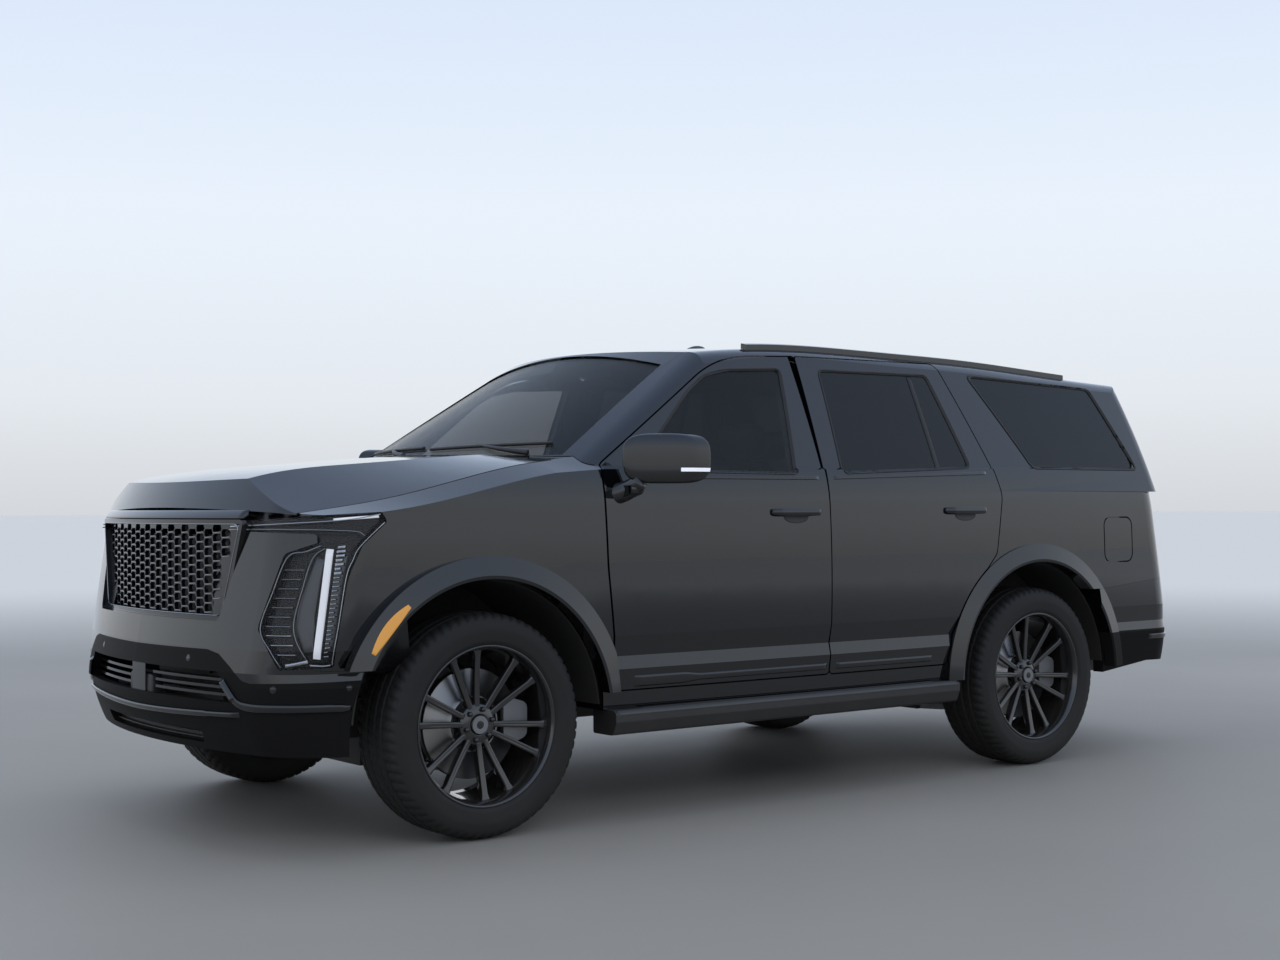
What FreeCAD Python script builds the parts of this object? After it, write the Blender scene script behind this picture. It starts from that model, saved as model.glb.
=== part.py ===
import FreeCAD, Part

import math
import os
from functools import lru_cache
from types import SimpleNamespace

from FreeCAD import Placement, Rotation, Vector

# A full-size sport utility vehicle, in millimetres.
# +X is the front, +Y the vehicle's left, +Z up; the origin is on the ground,
# under the middle of the body's box.

doc = FreeCAD.newDocument("suv")

# Driving sizes: name, value in millimetres (degrees for angles), what it is
SIZES = (
    ("overall_length", 5382, "front bumper to rear bumper"),
    ("side_half_width", 1016, "middle plane to the door skin"),
    ("flare_half_width", 1030, "middle plane to the wheel arch flare"),
    ("wheelbase", 3071, "front axle to rear axle"),
    ("front_overhang", 942, "front axle to the front of the bumper"),
    ("tyre_radius", 417, "wheel centre to the ground"),
    ("tyre_width", 275, "sidewall to sidewall"),
    ("rim_radius", 292, "tyre bore"),
    ("rim_depth", 24, "thickness of the rim barrel with its flanges"),
    ("wheel_middle", 869, "middle plane to the middle of a tyre"),
    ("wheel_face", 90, "tyre middle out to the spokes' face"),
    ("mount_face", 28, "tyre middle out to the wheel's mounting face"),
    ("hub_radius", 78, "wheel centre boss"),
    ("hub_bore", 34, "bore of the wheel boss"),
    ("spoke_width", 26, "width of one wheel spoke"),
    ("spoke_depth", 42, "depth of one wheel spoke"),
    ("disc_radius", 205, "brake disc"),
    ("disc_thickness", 30, "brake disc"),
    ("disc_gap", 24, "mounting face back to the disc's outer face"),
    ("kingpin_middle", 740, "middle plane to a steering axis"),
    ("ball_height", 160, "wheel centre to a ball joint's face"),
    ("arm_depth", 28, "thickness of a suspension arm"),
    ("arch_radius", 540, "wheel arch opening"),
    ("flare_band", 84, "width of the arch flare"),
    ("liner_wall", 6, "wheelhouse liner"),
    ("front_liner_inner", 450, "middle plane to the front liner's inner edge"),
    ("rear_liner_inner", 640, "middle plane to the rear liner's inner edge"),
    ("panel", 36, "depth of a wing, bonnet or bumper panel"),
    ("door_depth", 118, "skin to trim, below the window line"),
    ("frame_depth", 48, "window frames, pillars and roof"),
    ("glass", 5, "thickness of a pane"),
    ("glass_inset", 7, "skin back to the glass"),
    ("shut_gap", 6, "gap round a moving panel"),
    ("seam", 0.8, "gap between fixed panels"),
    ("fit", 0.4, "clearance of a seated piece"),
    ("belt_height", 1338, "underside of the window frames inside"),
    ("sill_bottom", 434, "underside of the sill"),
    ("door_bottom", 506, "lower edge of the doors"),
    ("pillar_split", 30, "line between front and rear door, along X"),
    ("pillar_width", 120, "inner post between the doors"),
    ("hood_half", 850, "middle plane to the bonnet's edge"),
    ("roof_half", 690, "middle plane to the roof panel's edge"),
    ("tailgate_bottom", 806, "lower edge of the tailgate"),
    ("rail_outer", 430, "middle plane to the outside of a frame rail"),
    ("rail_width", 95, "frame rail"),
    ("rail_top", 489, "top of a frame rail"),
    ("rail_depth", 150, "height of a frame rail"),
    ("cross_depth", 62, "height of a cross member"),
    ("cross_width", 90, "length of a cross member along X"),
    ("floor_thickness", 30, "cabin floor"),
    ("firewall_back", 1200, "rear face of the firewall, along X"),
    ("engine_length", 640, "engine block"),
    ("engine_width", 560, "engine block"),
    ("engine_height", 700, "engine block"),
    ("shaft_radius", 32, "propeller shaft"),
    ("pipe_radius", 26, "exhaust pipe"),
    ("board_width", 150, "running board"),
    ("board_depth", 96, "height of the running board"),
    ("seat_width", 520, "front and middle seats"),
    ("seat_middle", 410, "middle plane to a seat's middle"),
    ("bench_half", 580, "half width of the rear bench"),
    ("seat_pitch", 880, "first to second row"),
    ("bench_pitch", 1660, "first to third row"),
    ("wheel_rim_radius", 180, "steering wheel"),
    ("wheel_rim_grip", 15, "radius of the steering wheel's rim"),
    ("steering_tilt", 25, "steering column above level, degrees"),
    ("mirror_width", 154, "door mirror head, beyond its post"),
    ("mirror_height", 176, "door mirror head"),
    ("grille_half_top", 660, "grille, at its top edge"),
    ("grille_half_bottom", 556, "grille, at its bottom edge"),
    ("grille_top", 1178, "height of the grille's top edge"),
    ("grille_bottom", 815, "height of the grille's bottom edge"),
    ("mesh_pitch", 107, "width of one lozenge of the grille"),
    ("mesh_rise", 34, "height of one lozenge of the grille"),
    ("mesh_bar", 9, "bar between two lozenges"),
    ("mesh_depth", 14, "depth of the grille's mesh"),
    ("roof_rail_half", 722, "middle plane to a roof rail"),
)

sheet = doc.addObject("Spreadsheet::Sheet", "sizes")
for row, (alias, value, note) in enumerate(SIZES, 1):
    sheet.set(f"A{row}", note)
    sheet.set(f"B{row}", str(value))
    sheet.setAlias(f"B{row}", alias)
doc.recompute()
d = SimpleNamespace(**{alias: float(sheet.get(alias)) for alias, _, _ in SIZES})

FRONT_TIP = d.overall_length / 2
REAR_TIP = -d.overall_length / 2
FRONT_AXLE = FRONT_TIP - d.front_overhang
REAR_AXLE = FRONT_AXLE - d.wheelbase
FLOOR_BOTTOM = d.rail_top + d.fit
FLOOR_TOP = FLOOR_BOTTOM + d.floor_thickness
DOOR_INNER = d.side_half_width - d.door_depth
FAR = 4000

NODES = {}


def keep(name, thing):
    """Give a document object its label and count it as a sub-part."""
    thing.Label = name
    NODES[name] = thing
    return thing


def feature(name, shape):
    """A sub-part whose shape is worked out in code."""
    thing = doc.addObject("Part::Feature", name)
    thing.Shape = shape
    return keep(name, thing)


# Outlines

def rounded(points):
    """Closed outline of lines; a corner given as (u, v, r) is an arc of radius r."""
    corners = [tuple(p) + (0,) * (3 - len(p)) for p in points]
    count = len(corners)
    edges = []
    ends = []
    for i, (u, v, r) in enumerate(corners):
        here = Vector(u, v, 0)
        before = Vector(*corners[i - 1][:2], 0) - here
        after = Vector(*corners[(i + 1) % count][:2], 0) - here
        room = min(before.Length, after.Length) * 0.49
        before.normalize()
        after.normalize()
        half = before.getAngle(after) / 2
        reach = min(r / math.tan(half), room) if r else 0
        if reach < 0.5:
            ends.append((here, here, None))
            continue
        start = here + before * reach
        stop = here + after * reach
        radius = reach * math.tan(half)
        middle = before + after
        middle.normalize()
        top = here + middle * (radius / math.sin(half) - radius)
        ends.append((start, stop, top))
    for i, (start, stop, top) in enumerate(ends):
        if top is not None:
            edges.append(Part.Arc(start, top, stop).toShape())
        following = ends[(i + 1) % count][0]
        if (following - stop).Length > 0.01:
            edges.append(Part.LineSegment(stop, following).toShape())
    return Part.Wire(edges)


# Turns that stand an outline up: u and v become the two axes named
TURNS = {
    "xy": (Rotation(), Vector(0, 0, 1)),
    "xz": (Rotation(Vector(1, 0, 0), 90), Vector(0, -1, 0)),
    "yz": (Rotation(Vector(1, 1, 1), 120), Vector(1, 0, 0)),
}


def prism(plane, points, low, high):
    """Solid of an outline in a plane, from low to high along the third axis."""
    turn, along = TURNS[plane]
    face = Part.Face(rounded(points))
    face.Placement = Placement(Vector(), turn)
    if plane == "xz":
        face.translate(Vector(0, high, 0))
        return face.extrude(Vector(0, low - high, 0))
    face.translate(along * low)
    return face.extrude(along * (high - low))


def block(x0, x1, y0, y1, z0, z1):
    """Box between two corners."""
    return Part.makeBox(x1 - x0, y1 - y0, z1 - z0, Vector(x0, y0, z0))


def round_bar(start, end, radius):
    """Cylinder between two points."""
    axis = Vector(*end) - Vector(*start)
    return Part.makeCylinder(radius, axis.Length, Vector(*start), axis)


def mirrored(shape):
    """The same piece on the other side of the vehicle."""
    return shape.mirror(Vector(), Vector(0, 1, 0))


def joined(shapes):
    """One shape of several that overlap."""
    return shapes[0].fuse(shapes[1:]).removeSplitter()


def left_and_right(name, shape):
    """A sub-part on the left and its mirror image on the right."""
    feature(name + "_left", shape)
    feature(name + "_right", mirrored(shape))


def both_sides(name, shape):
    """One sub-part of a piece on the left and its mirror image on the right."""
    return feature(name, Part.makeCompound([shape, mirrored(shape)]))


def biggest(shape):
    """The largest solid of a shape, without slivers."""
    return max(shape.Solids, key=lambda solid: solid.Volume)


def solids_over(shape, volume):
    """The solids of a shape that are larger than a volume, as one shape."""
    kept = [solid for solid in shape.Solids if solid.Volume > volume]
    return kept[0] if len(kept) == 1 else Part.makeCompound(kept)


# The body as one smooth form: plan outlines stacked in height

def fillet_centre(c1, r1, c2, r2, r, pick):
    """Centre of a circle of radius r that touches two larger ones from inside."""
    a = r1 - r
    b = r2 - r
    dx = c2[0] - c1[0]
    dy = c2[1] - c1[1]
    dist = math.hypot(dx, dy)
    k = (a * a - b * b + dist * dist) / (2 * dist)
    h = math.sqrt(max(a * a - k * k, 0))
    mx = c1[0] + k * dx / dist
    my = c1[1] + k * dy / dist
    both = ((mx - h * dy / dist, my + h * dx / dist), (mx + h * dy / dist, my - h * dx / dist))
    return max(both, key=pick)


def plan(z, front, rear, half, bow_front, bow_rear, corner_front, corner_rear, middle=0):
    """Plan outline: bowed front, sides and rear, with round corners."""
    side = 60000
    c_front = (front - bow_front, 0)
    c_rear = (rear + bow_rear, 0)
    c_side = (middle, half - side)
    k_front = fillet_centre(c_front, bow_front, c_side, side, corner_front, lambda p: p[1] + p[0])
    k_rear = fillet_centre(c_rear, bow_rear, c_side, side, corner_rear, lambda p: p[1] - p[0])

    def touch(c, r, k):
        dist = math.hypot(k[0] - c[0], k[1] - c[1])
        return c[0] + (k[0] - c[0]) * r / dist, c[1] + (k[1] - c[1]) * r / dist

    def top(k, r, p, q):
        mx = (p[0] + q[0]) / 2 - k[0]
        my = (p[1] + q[1]) / 2 - k[1]
        dist = math.hypot(mx, my)
        return k[0] + mx * r / dist, k[1] + my * r / dist

    def at(p, sign=1):
        return Vector(p[0], sign * p[1], z)

    fa = touch(c_front, bow_front, k_front)
    fb = touch(c_side, side, k_front)
    rb = touch(c_side, side, k_rear)
    ra = touch(c_rear, bow_rear, k_rear)
    front_top = top(k_front, corner_front, fa, fb)
    side_top = top(c_side, side, fb, rb)
    rear_top = top(k_rear, corner_rear, rb, ra)
    arcs = (
        (at(fa, -1), Vector(front, 0, z), at(fa)),
        (at(fa), at(front_top), at(fb)),
        (at(fb), at(side_top), at(rb)),
        (at(rb), at(rear_top), at(ra)),
        (at(ra), Vector(rear, 0, z), at(ra, -1)),
        (at(ra, -1), at(rear_top, -1), at(rb, -1)),
        (at(rb, -1), at(side_top, -1), at(fb, -1)),
        (at(fb, -1), at(front_top, -1), at(fa, -1)),
    )
    return Part.Wire([Part.Arc(*arc).toShape() for arc in arcs])


# Height, setback from the front tip, setback from the rear tip, tuck-in of the side
BODY_ROWS = (
    (300, 91, 71, 41),
    (470, 19, 11, 26),
    (590, 1, 0, 10),
    (640, 0, 3, 20),
    (720, 9, 16, 4),
    (960, 46, 61, 0),
    (1200, 81, 101, 8),
    (1300, 125, 121, 18),
    (1480, 250, 151, 76),
)
# First and last row of each smooth band
BODY_BANDS = ((0, 2), (2, 3), (3, 4), (4, 6), (6, 8))

# Behind the front tip: height on the middle, bonnet rib, bonnet edge, shoulder
CROWN_ROWS = (
    (-109, 1225, 1215, 1130, 1090),
    (81, 1300, 1288, 1178, 1150),
    (241, 1348, 1336, 1200, 1168),
    (524, 1388, 1376, 1240, 1195),
    (891, 1418, 1406, 1320, 1262),
    (1266, 1443, 1431, 1395, 1338),
)
CROWN_REST = (
    (1266, 1443, 1431, 1395, 1338),
    (1491, 1455, 1445, 1425, 1352),
    (2091, 1470, 1460, 1435, 1362),
    (5491, 1470, 1460, 1450, 1392),
)
RIB_HALF = 560


def crown_section(x, middle, rib, edge, shoulder, drop):
    """Cross-section of the body's upper surface, closed far below it."""
    wide = 1200
    low = 100

    def at(y, z):
        return Vector(x, y, z - drop)

    half = ((wide, low), (wide, shoulder - 60), (1000, shoulder), (d.hood_half, edge), (RIB_HALF, rib))
    lines = [Part.LineSegment(at(-wide, low), at(wide, low))]
    for (y0, z0), (y1, z1) in zip(half, half[1:]):
        lines.append(Part.LineSegment(at(y0, z0), at(y1, z1)))
    lines.append(Part.Arc(at(RIB_HALF, rib), at(0, middle), at(-RIB_HALF, rib)))
    for (y0, z0), (y1, z1) in reversed(list(zip(half, half[1:]))):
        lines.append(Part.LineSegment(at(-y1, z1), at(-y0, z0)))
    return Part.Wire([line.toShape() for line in lines])


def sewn(walls, first, last):
    """Solid of open lofts that meet edge to edge, closed by a face at each end."""
    faces = [face for wall in walls for face in wall.Faces]
    shell = Part.makeShell(faces + [Part.Face(first), Part.Face(last)])
    shell.sewShape()
    solid = Part.Solid(shell.Shells[0] if shell.Shells else shell)
    if solid.Volume < 0:
        solid.reverse()
    return solid


@lru_cache(maxsize=None)
def lower_body(inset):
    """The body below the windows, drawn in from its skin by an inset."""
    def outline(height, front, rear, side):
        return plan(height, FRONT_TIP - front - inset, REAR_TIP + rear + inset,
                    d.side_half_width - side - inset, 2700, 1700, 300 - inset, 180 - inset / 2)

    wires = [outline(*row) for row in BODY_ROWS]
    walls = [Part.makeLoft(wires[first:last + 1], False, False, False, 2) for first, last in BODY_BANDS]
    nose = [crown_section(FRONT_TIP - row[0], *row[1:], inset) for row in CROWN_ROWS]
    rest = [crown_section(FRONT_TIP - row[0], *row[1:], inset) for row in CROWN_REST]
    decks = [Part.makeLoft(nose, False, False, False, 3), Part.makeLoft(rest, False, True)]
    form = sewn(walls, wires[0], wires[-1])
    return biggest(form.common(sewn(decks, nose[0], rest[-1])))


# Height, windscreen and rear window set back from the axles, half width
CABIN_ROWS = (
    (1290, 6, -1258, 994),
    (1640, -594, -1146, 875),
    (1960, -1152, -1010, 749),
)
# Behind the front axle: height of the roof on the middle and at the roof edge
ROOF_ROWS = (
    (250, 1680, 1635),
    (720, 1815, 1770),
    (1024, 1893, 1853),
    (1257, 1918, 1880),
    (1481, 1934, 1900),
    (2205, 1941, 1908),
    (2701, 1934, 1900),
    (3162, 1917, 1882),
    (3738, 1886, 1852),
    (4450, 1848, 1816),
)
ROOF_CORNER = 84


@lru_cache(maxsize=None)
def cabin(inset):
    """The glasshouse with its roof, drawn in from its skin by an inset."""
    lean = 2
    wires = []
    for height, front, rear, half in CABIN_ROWS:
        wires.append(plan(height, FRONT_AXLE + front - lean * inset, REAR_AXLE + rear + inset,
                          half - inset, 1450, 1900, 140, 120, REAR_AXLE / 3))
    walls = Part.makeLoft(wires, True, False, False, 2)
    sections = []
    for back, middle, edge in ROOF_ROWS:
        x = FRONT_AXLE - back
        corner = d.roof_half + 10

        def at(y, z):
            return Vector(x, y, z - inset)

        end = (corner + ROOF_CORNER, edge - 40)
        out = (1100, edge - 405)
        low = (1100, 1100)
        lines = (
            Part.LineSegment(at(-low[0], low[1]), at(*low)),
            Part.LineSegment(at(*low), at(*out)),
            Part.LineSegment(at(*out), at(*end)),
            Part.Arc(at(*end), at(corner + 50, edge - 13), at(corner, edge)),
            Part.Arc(at(corner, edge), at(0, middle), at(-corner, edge)),
            Part.Arc(at(-corner, edge), at(-corner - 50, edge - 13), at(-end[0], end[1])),
            Part.LineSegment(at(-end[0], end[1]), at(-out[0], out[1])),
            Part.LineSegment(at(-out[0], out[1]), at(-low[0], low[1])),
        )
        sections.append(Part.Wire([line.toShape() for line in lines]))
    roof = Part.makeLoft(sections, True, False, False, 3)
    return walls.common(roof)


body_skin = lower_body(0)
body_lining = lower_body(d.panel)
cabin_skin = cabin(0)
cabin_lining = cabin(d.frame_depth)
whole = body_skin.fuse(cabin_skin)

# Hollow of the cabin: straight inner walls below the windows
ROOM_REAR = REAR_TIP + 190


def room_plan(gap, low, high):
    """Plan of the cabin's hollow, its rear corners cut off, drawn in by a gap."""
    side = DOOR_INNER - gap
    rear = ROOM_REAR + gap
    return prism("xy", ((FAR, -side), (FAR, side), (rear + 280, side), (rear, 470), (rear, -470),
                        (rear + 280, -side)), low, high)


cabin_room = prism("xz", ((d.firewall_back + 400, 100), (d.firewall_back + 400, d.belt_height),
                          (0, d.belt_height), (-900, d.belt_height + 38),
                          (ROOM_REAR - 50, d.belt_height + 50), (ROOM_REAR - 50, 100)),
                   -DOOR_INNER - 10, DOOR_INNER + 10).common(room_plan(0, 0, FAR / 2))
above_belt = prism("xz", ((FAR, d.belt_height - 1), (FAR, FAR), (-FAR, FAR),
                          (-FAR, d.belt_height + 49), (-900, d.belt_height + 37),
                          (0, d.belt_height - 1)), -FAR, FAR)
side_shell = whole.cut([cabin_room, cabin_lining.common(above_belt)])
front_shell = body_skin.cut(body_lining)
left_half = block(-FAR, FAR, 0, FAR, 0, FAR)
left_shell = side_shell.common(left_half)
left_front = front_shell.common(block(0, FAR, 0, FAR, 0, FAR))

# Outlines of the openings, as (x, z, corner radius)

DOOR_FRONT = (
    (d.pillar_split, d.door_bottom, 20),
    (d.pillar_split, 1874, 14),
    (FRONT_AXLE - 1274, 1853, 650),
    (FRONT_AXLE - 535, 1378, 60),
    (FRONT_AXLE - 546, 985, 900),
    (FRONT_AXLE - 600, d.door_bottom, 30),
)
DOOR_REAR = (
    (d.pillar_split, d.door_bottom, 20),
    (d.pillar_split, 1874, 14),
    (REAR_AXLE + 462, 1884, 40),
    (REAR_AXLE + 272, 1400, 300),
    (REAR_AXLE + 237, 1270, 120),
    (REAR_AXLE + 290, 1000, 60),
    (REAR_AXLE + 410, 880, 0),
    (REAR_AXLE + 627, d.door_bottom, 20),
)
WINDOW_FRONT = (
    (d.pillar_split + 164, 1359, 12),
    (d.pillar_split + 106, 1812, 25),
    (FRONT_AXLE - 1170, 1788, 380),
    (FRONT_AXLE - 713, 1364, 30),
)
WINDOW_REAR = (
    (d.pillar_split - 110, 1364, 12),
    (d.pillar_split - 122, 1817, 25),
    (REAR_AXLE + 547, 1823, 25),
    (REAR_AXLE + 418, 1397, 25),
)
WINDOW_QUARTER = (
    (REAR_AXLE + 264, 1834, 25),
    (REAR_AXLE - 643, 1806, 40),
    (REAR_AXLE - 850, 1402, 40),
    (REAR_AXLE - 30, 1400, 30),
)
FUEL_FLAP = (
    (REAR_AXLE - 525, 947, 40),
    (REAR_AXLE - 525, 1159, 40),
    (REAR_AXLE - 745, 1159, 40),
    (REAR_AXLE - 745, 947, 40),
)


def grown(points, gap):
    """The same outline, every side moved out by a gap."""
    wire = rounded(points)
    wide = wire.makeOffset2D(gap, 2, False, False, False)
    return wide if wide.BoundBox.DiagonalLength > wire.BoundBox.DiagonalLength or gap < 0 \
        else wire.makeOffset2D(-gap, 2, False, False, False)


def side_cut(points, gap, low=200, high=1200):
    """Solid of a side outline, grown or shrunk by a gap, across the left side."""
    face = Part.Face(grown(points, gap) if gap else rounded(points))
    face.Placement = Placement(Vector(0, high, 0), TURNS["xz"][0])
    return face.extrude(Vector(0, low - high, 0))


def arch(x, radius, low, high):
    """Cylinder across a wheel arch."""
    return Part.makeCylinder(radius, high - low, Vector(x, low, d.tyre_radius), Vector(0, 1, 0))


def flare(x):
    """Ring round a wheel arch, its face leaning in to the body's skin."""
    lip = 12
    foot = 60
    profile = (
        (d.arch_radius, d.flare_half_width - foot),
        (d.arch_radius, d.flare_half_width - 3),
        (d.arch_radius + lip, d.flare_half_width),
        (d.arch_radius + d.flare_band, d.flare_half_width - lip - 6),
        (d.arch_radius + d.flare_band, d.flare_half_width - foot),
    )
    wire = Part.makePolygon([Vector(x + r, y, d.tyre_radius) for r, y in profile + profile[:1]])
    ring = Part.Face(wire).revolve(Vector(x, 0, d.tyre_radius), Vector(0, 1, 0), 360)
    return ring.common(block(x - 900, x + 900, 0, 1200, d.sill_bottom, FAR))


front_arch = arch(FRONT_AXLE, d.arch_radius, d.front_liner_inner, 1200)
rear_arch = arch(REAR_AXLE, d.arch_radius, d.rear_liner_inner, 1200)

# Doors: the whole wall between the panel lines, with the window cut

front_door_cut = side_cut(DOOR_FRONT, -d.shut_gap / 2)
rear_door_cut = side_cut(DOOR_REAR, -d.shut_gap / 2)
front_door_hole = side_cut(DOOR_FRONT, d.shut_gap / 2)
rear_door_hole = side_cut(DOOR_REAR, d.shut_gap / 2)
rear_flare_zone = arch(REAR_AXLE, d.arch_radius + d.flare_band + d.shut_gap, 200, 1200)
rear_flare_core = arch(REAR_AXLE, d.arch_radius + d.flare_band, 200, 1200)


def edge_bevel(rear, depth):
    """Wedge that eases a door's trailing edge on its inner side."""
    return prism("xy", ((rear - 40, DOOR_INNER - 260), (rear - 40, d.side_half_width - 6),
                        (rear, d.side_half_width - 6), (rear + depth, DOOR_INNER - 260)),
                 0, FAR / 2)


BEVEL = 60
front_rear_edge = d.pillar_split + d.shut_gap / 2
under_roof = block(-FAR, FAR, 0, d.roof_half + d.shut_gap, 0, FAR)
front_door = left_shell.common(front_door_cut).cut([side_cut(WINDOW_FRONT, 0), under_roof,
                                                    edge_bevel(front_rear_edge, BEVEL)])
flare_swing = arch(REAR_AXLE, d.arch_radius + d.flare_band + d.shut_gap + 10, 200, 950)
rear_rebate = cabin(16).common(block(-FAR, REAR_AXLE + 520, 0, FAR, d.belt_height + 40, FAR)).cut(
    side_cut(DOOR_REAR, -d.shut_gap / 2 - 14))
rear_door = left_shell.common(rear_door_cut).cut([rear_flare_zone, side_cut(WINDOW_REAR, 0), under_roof,
                                                  flare_swing, rear_rebate])

pillar_x0 = d.pillar_split - d.pillar_width / 2
pillar_x1 = d.pillar_split + d.pillar_width / 2
hinge_pillar_back = FRONT_AXLE - 521


def hinge_leaf(height):
    """Leaf on the front door that meets the hinge pillar."""
    back = FRONT_AXLE - 620
    return block(back, hinge_pillar_back - d.fit, 908, 926, height, height + 60)


mirror_foot_height = 1262
foot_x = FRONT_AXLE - 628
foot_y = d.side_half_width + 40
mirror_foot = prism("yz", ((900, mirror_foot_height - 40), (foot_y + 26, mirror_foot_height + 10, 20),
                           (foot_y + 26, mirror_foot_height + 40, 10), (900, mirror_foot_height + 40)),
                    foot_x - 30, foot_x + 30)
mirror_foot = mirror_foot.common(block(-FAR, FAR, 930, FAR, 0, FAR))
front_door = biggest(joined([front_door, mirror_foot, hinge_leaf(700), hinge_leaf(1120)]))
left_and_right("door_front", front_door)
left_and_right("door_rear", biggest(rear_door))

glass_skin = cabin(d.glass_inset)
glass_lining = cabin(d.glass_inset + d.glass)
glass_shell = glass_skin.cut(glass_lining)
left_and_right("window_front", biggest(glass_shell.common(side_cut(WINDOW_FRONT, -d.fit))))
left_and_right("window_rear", biggest(glass_shell.common(side_cut(WINDOW_REAR, -d.fit))))
both_sides("quarter_windows", biggest(glass_shell.common(side_cut(WINDOW_QUARTER, -d.fit))))

# Windscreen, rear window and tailgate outlines, as (y, z, corner radius)

SCREEN_TOP_CORNER = (676, 1815)
SCREEN_TOP = 1888


def screen_outline(gap):
    """Windscreen seen from the front, drawn in by a gap."""
    y0 = 806 - gap
    y1 = SCREEN_TOP_CORNER[0] - gap
    low = 1424 + gap
    points = [Vector(-y0, low, 0), Vector(y0, low, 0), Vector(y1, SCREEN_TOP_CORNER[1] - gap, 0),
              Vector(-y1, SCREEN_TOP_CORNER[1] - gap, 0)]
    edges = [
        Part.LineSegment(points[0], points[1]),
        Part.LineSegment(points[1], points[2]),
        Part.Arc(points[2], Vector(0, SCREEN_TOP - gap, 0), points[3]),
        Part.LineSegment(points[3], points[0]),
    ]
    face = Part.Face(Part.Wire([edge.toShape() for edge in edges]))
    face.Placement = Placement(Vector(FRONT_AXLE - 1400, 0, 0), TURNS["yz"][0])
    return face.extrude(Vector(1600, 0, 0))


feature("windscreen", biggest(glass_shell.common(screen_outline(d.fit))))

TAILGATE = (
    (-760, d.tailgate_bottom, 60),
    (760, d.tailgate_bottom, 60),
    (790, 930, 20),
    (790, 1395, 300),
    (672, 1800, 40),
    (672, 1900),
    (-672, 1900),
    (-672, 1800, 40),
    (-790, 1395, 300),
    (-790, 930, 20),
)
REAR_WINDOW = (
    (-700, 1398, 50),
    (700, 1398, 50),
    (610, 1780, 50),
    (-610, 1780, 50),
)
TAILGATE_SPLIT = REAR_AXLE - 878


def rear_cut(points, gap):
    """Solid of a rear outline, grown by a gap, through the tail."""
    face = Part.Face(grown(points, gap) if gap else rounded(points))
    face.Placement = Placement(Vector(REAR_TIP - 100, 0, 0), TURNS["yz"][0])
    return face.extrude(Vector(TAILGATE_SPLIT - REAR_TIP + 100, 0, 0))


tail_zone = rear_cut(TAILGATE, 0)
tail_hole = rear_cut(TAILGATE, d.shut_gap)
tailgate = side_shell.common(tail_zone).cut(rear_cut(REAR_WINDOW, 0))
feature("tailgate", biggest(tailgate))
feature("rear_window", biggest(glass_shell.common(rear_cut(REAR_WINDOW, -d.fit))))

# Openings of the nose, as (y, z, corner radius)

grille_points = (
    (-d.grille_half_bottom, d.grille_bottom, 30),
    (d.grille_half_bottom, d.grille_bottom, 30),
    (d.grille_half_top, d.grille_top, 16),
    (-d.grille_half_top, d.grille_top, 16),
)


def nose_cut(points, gap=0):
    """Solid of a front outline, through the nose."""
    face = Part.Face(grown(points, gap) if gap else rounded(points))
    face.Placement = Placement(Vector(FRONT_TIP - 330, 0, 0), TURNS["yz"][0])
    return face.extrude(Vector(430, 0, 0))


# Lamps: outlines seen square to the corner they wrap round

LAMP_TURN = 50
LAMP_POINT = (FRONT_AXLE + 651, 900)
HEADLAMP = (
    (-345, 1170),
    (216, 1203, 12),
    (233, 1169, 12),
    (157, 1085, 60),
    (113, 975, 300),
    (66, 664, 8),
    (-118, 655, 20),
    (-204, 798, 30),
    (-107, 1058, 30),
    (20, 1098, 60),
    (124, 1124),
    (-345, 1138),
)


def lamp_cut(points, gap, turn, point, reach):
    """Solid of an outline seen along a level direction, grown by a gap."""
    across = Vector(-math.sin(math.radians(turn)), math.cos(math.radians(turn)), 0)
    along = Vector(math.cos(math.radians(turn)), math.sin(math.radians(turn)), 0)
    matrix = FreeCAD.Matrix(across.x, 0, along.x, point[0] - along.x * reach,
                            across.y, 0, along.y, point[1] - along.y * reach,
                            0, 1, 0, 0,
                            0, 0, 0, 1)
    face = Part.Face(grown(points, gap) if gap else rounded(points))
    face.Placement = Placement(matrix)
    return face.extrude(along * (2 * reach))


lamp_zone = lamp_cut(HEADLAMP, 0, LAMP_TURN, LAMP_POINT, 300)
lamp_hole = lamp_cut(HEADLAMP, d.seam, LAMP_TURN, LAMP_POINT, 300)
TAIL_LAMP_SIDE = (
    (REAR_TIP - 100, 936),
    (REAR_AXLE - 1043, 936, 20),
    (REAR_AXLE - 961, 1395, 200),
    (REAR_AXLE - 905, 1650),
    (REAR_AXLE - 885, 1780, 10),
    (REAR_TIP - 100, 1780),
)
tail_side = side_cut(TAIL_LAMP_SIDE, 0)
tail_inner = rear_cut(TAILGATE, 2 * d.shut_gap)
tail_lamp = biggest(left_shell.common(tail_side).cut([tail_inner, block(-FAR, FAR, -FAR, 640, 0, FAR)]))
both_sides("tail_lamps", tail_lamp)
tail_lamp_hole = side_cut(TAIL_LAMP_SIDE, d.seam).cut(rear_cut(TAILGATE, 2 * d.shut_gap - d.seam))

# Bonnet: rear edge bowed in plan, hinged at its rear corners

hood_rear = FRONT_AXLE - 378


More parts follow.
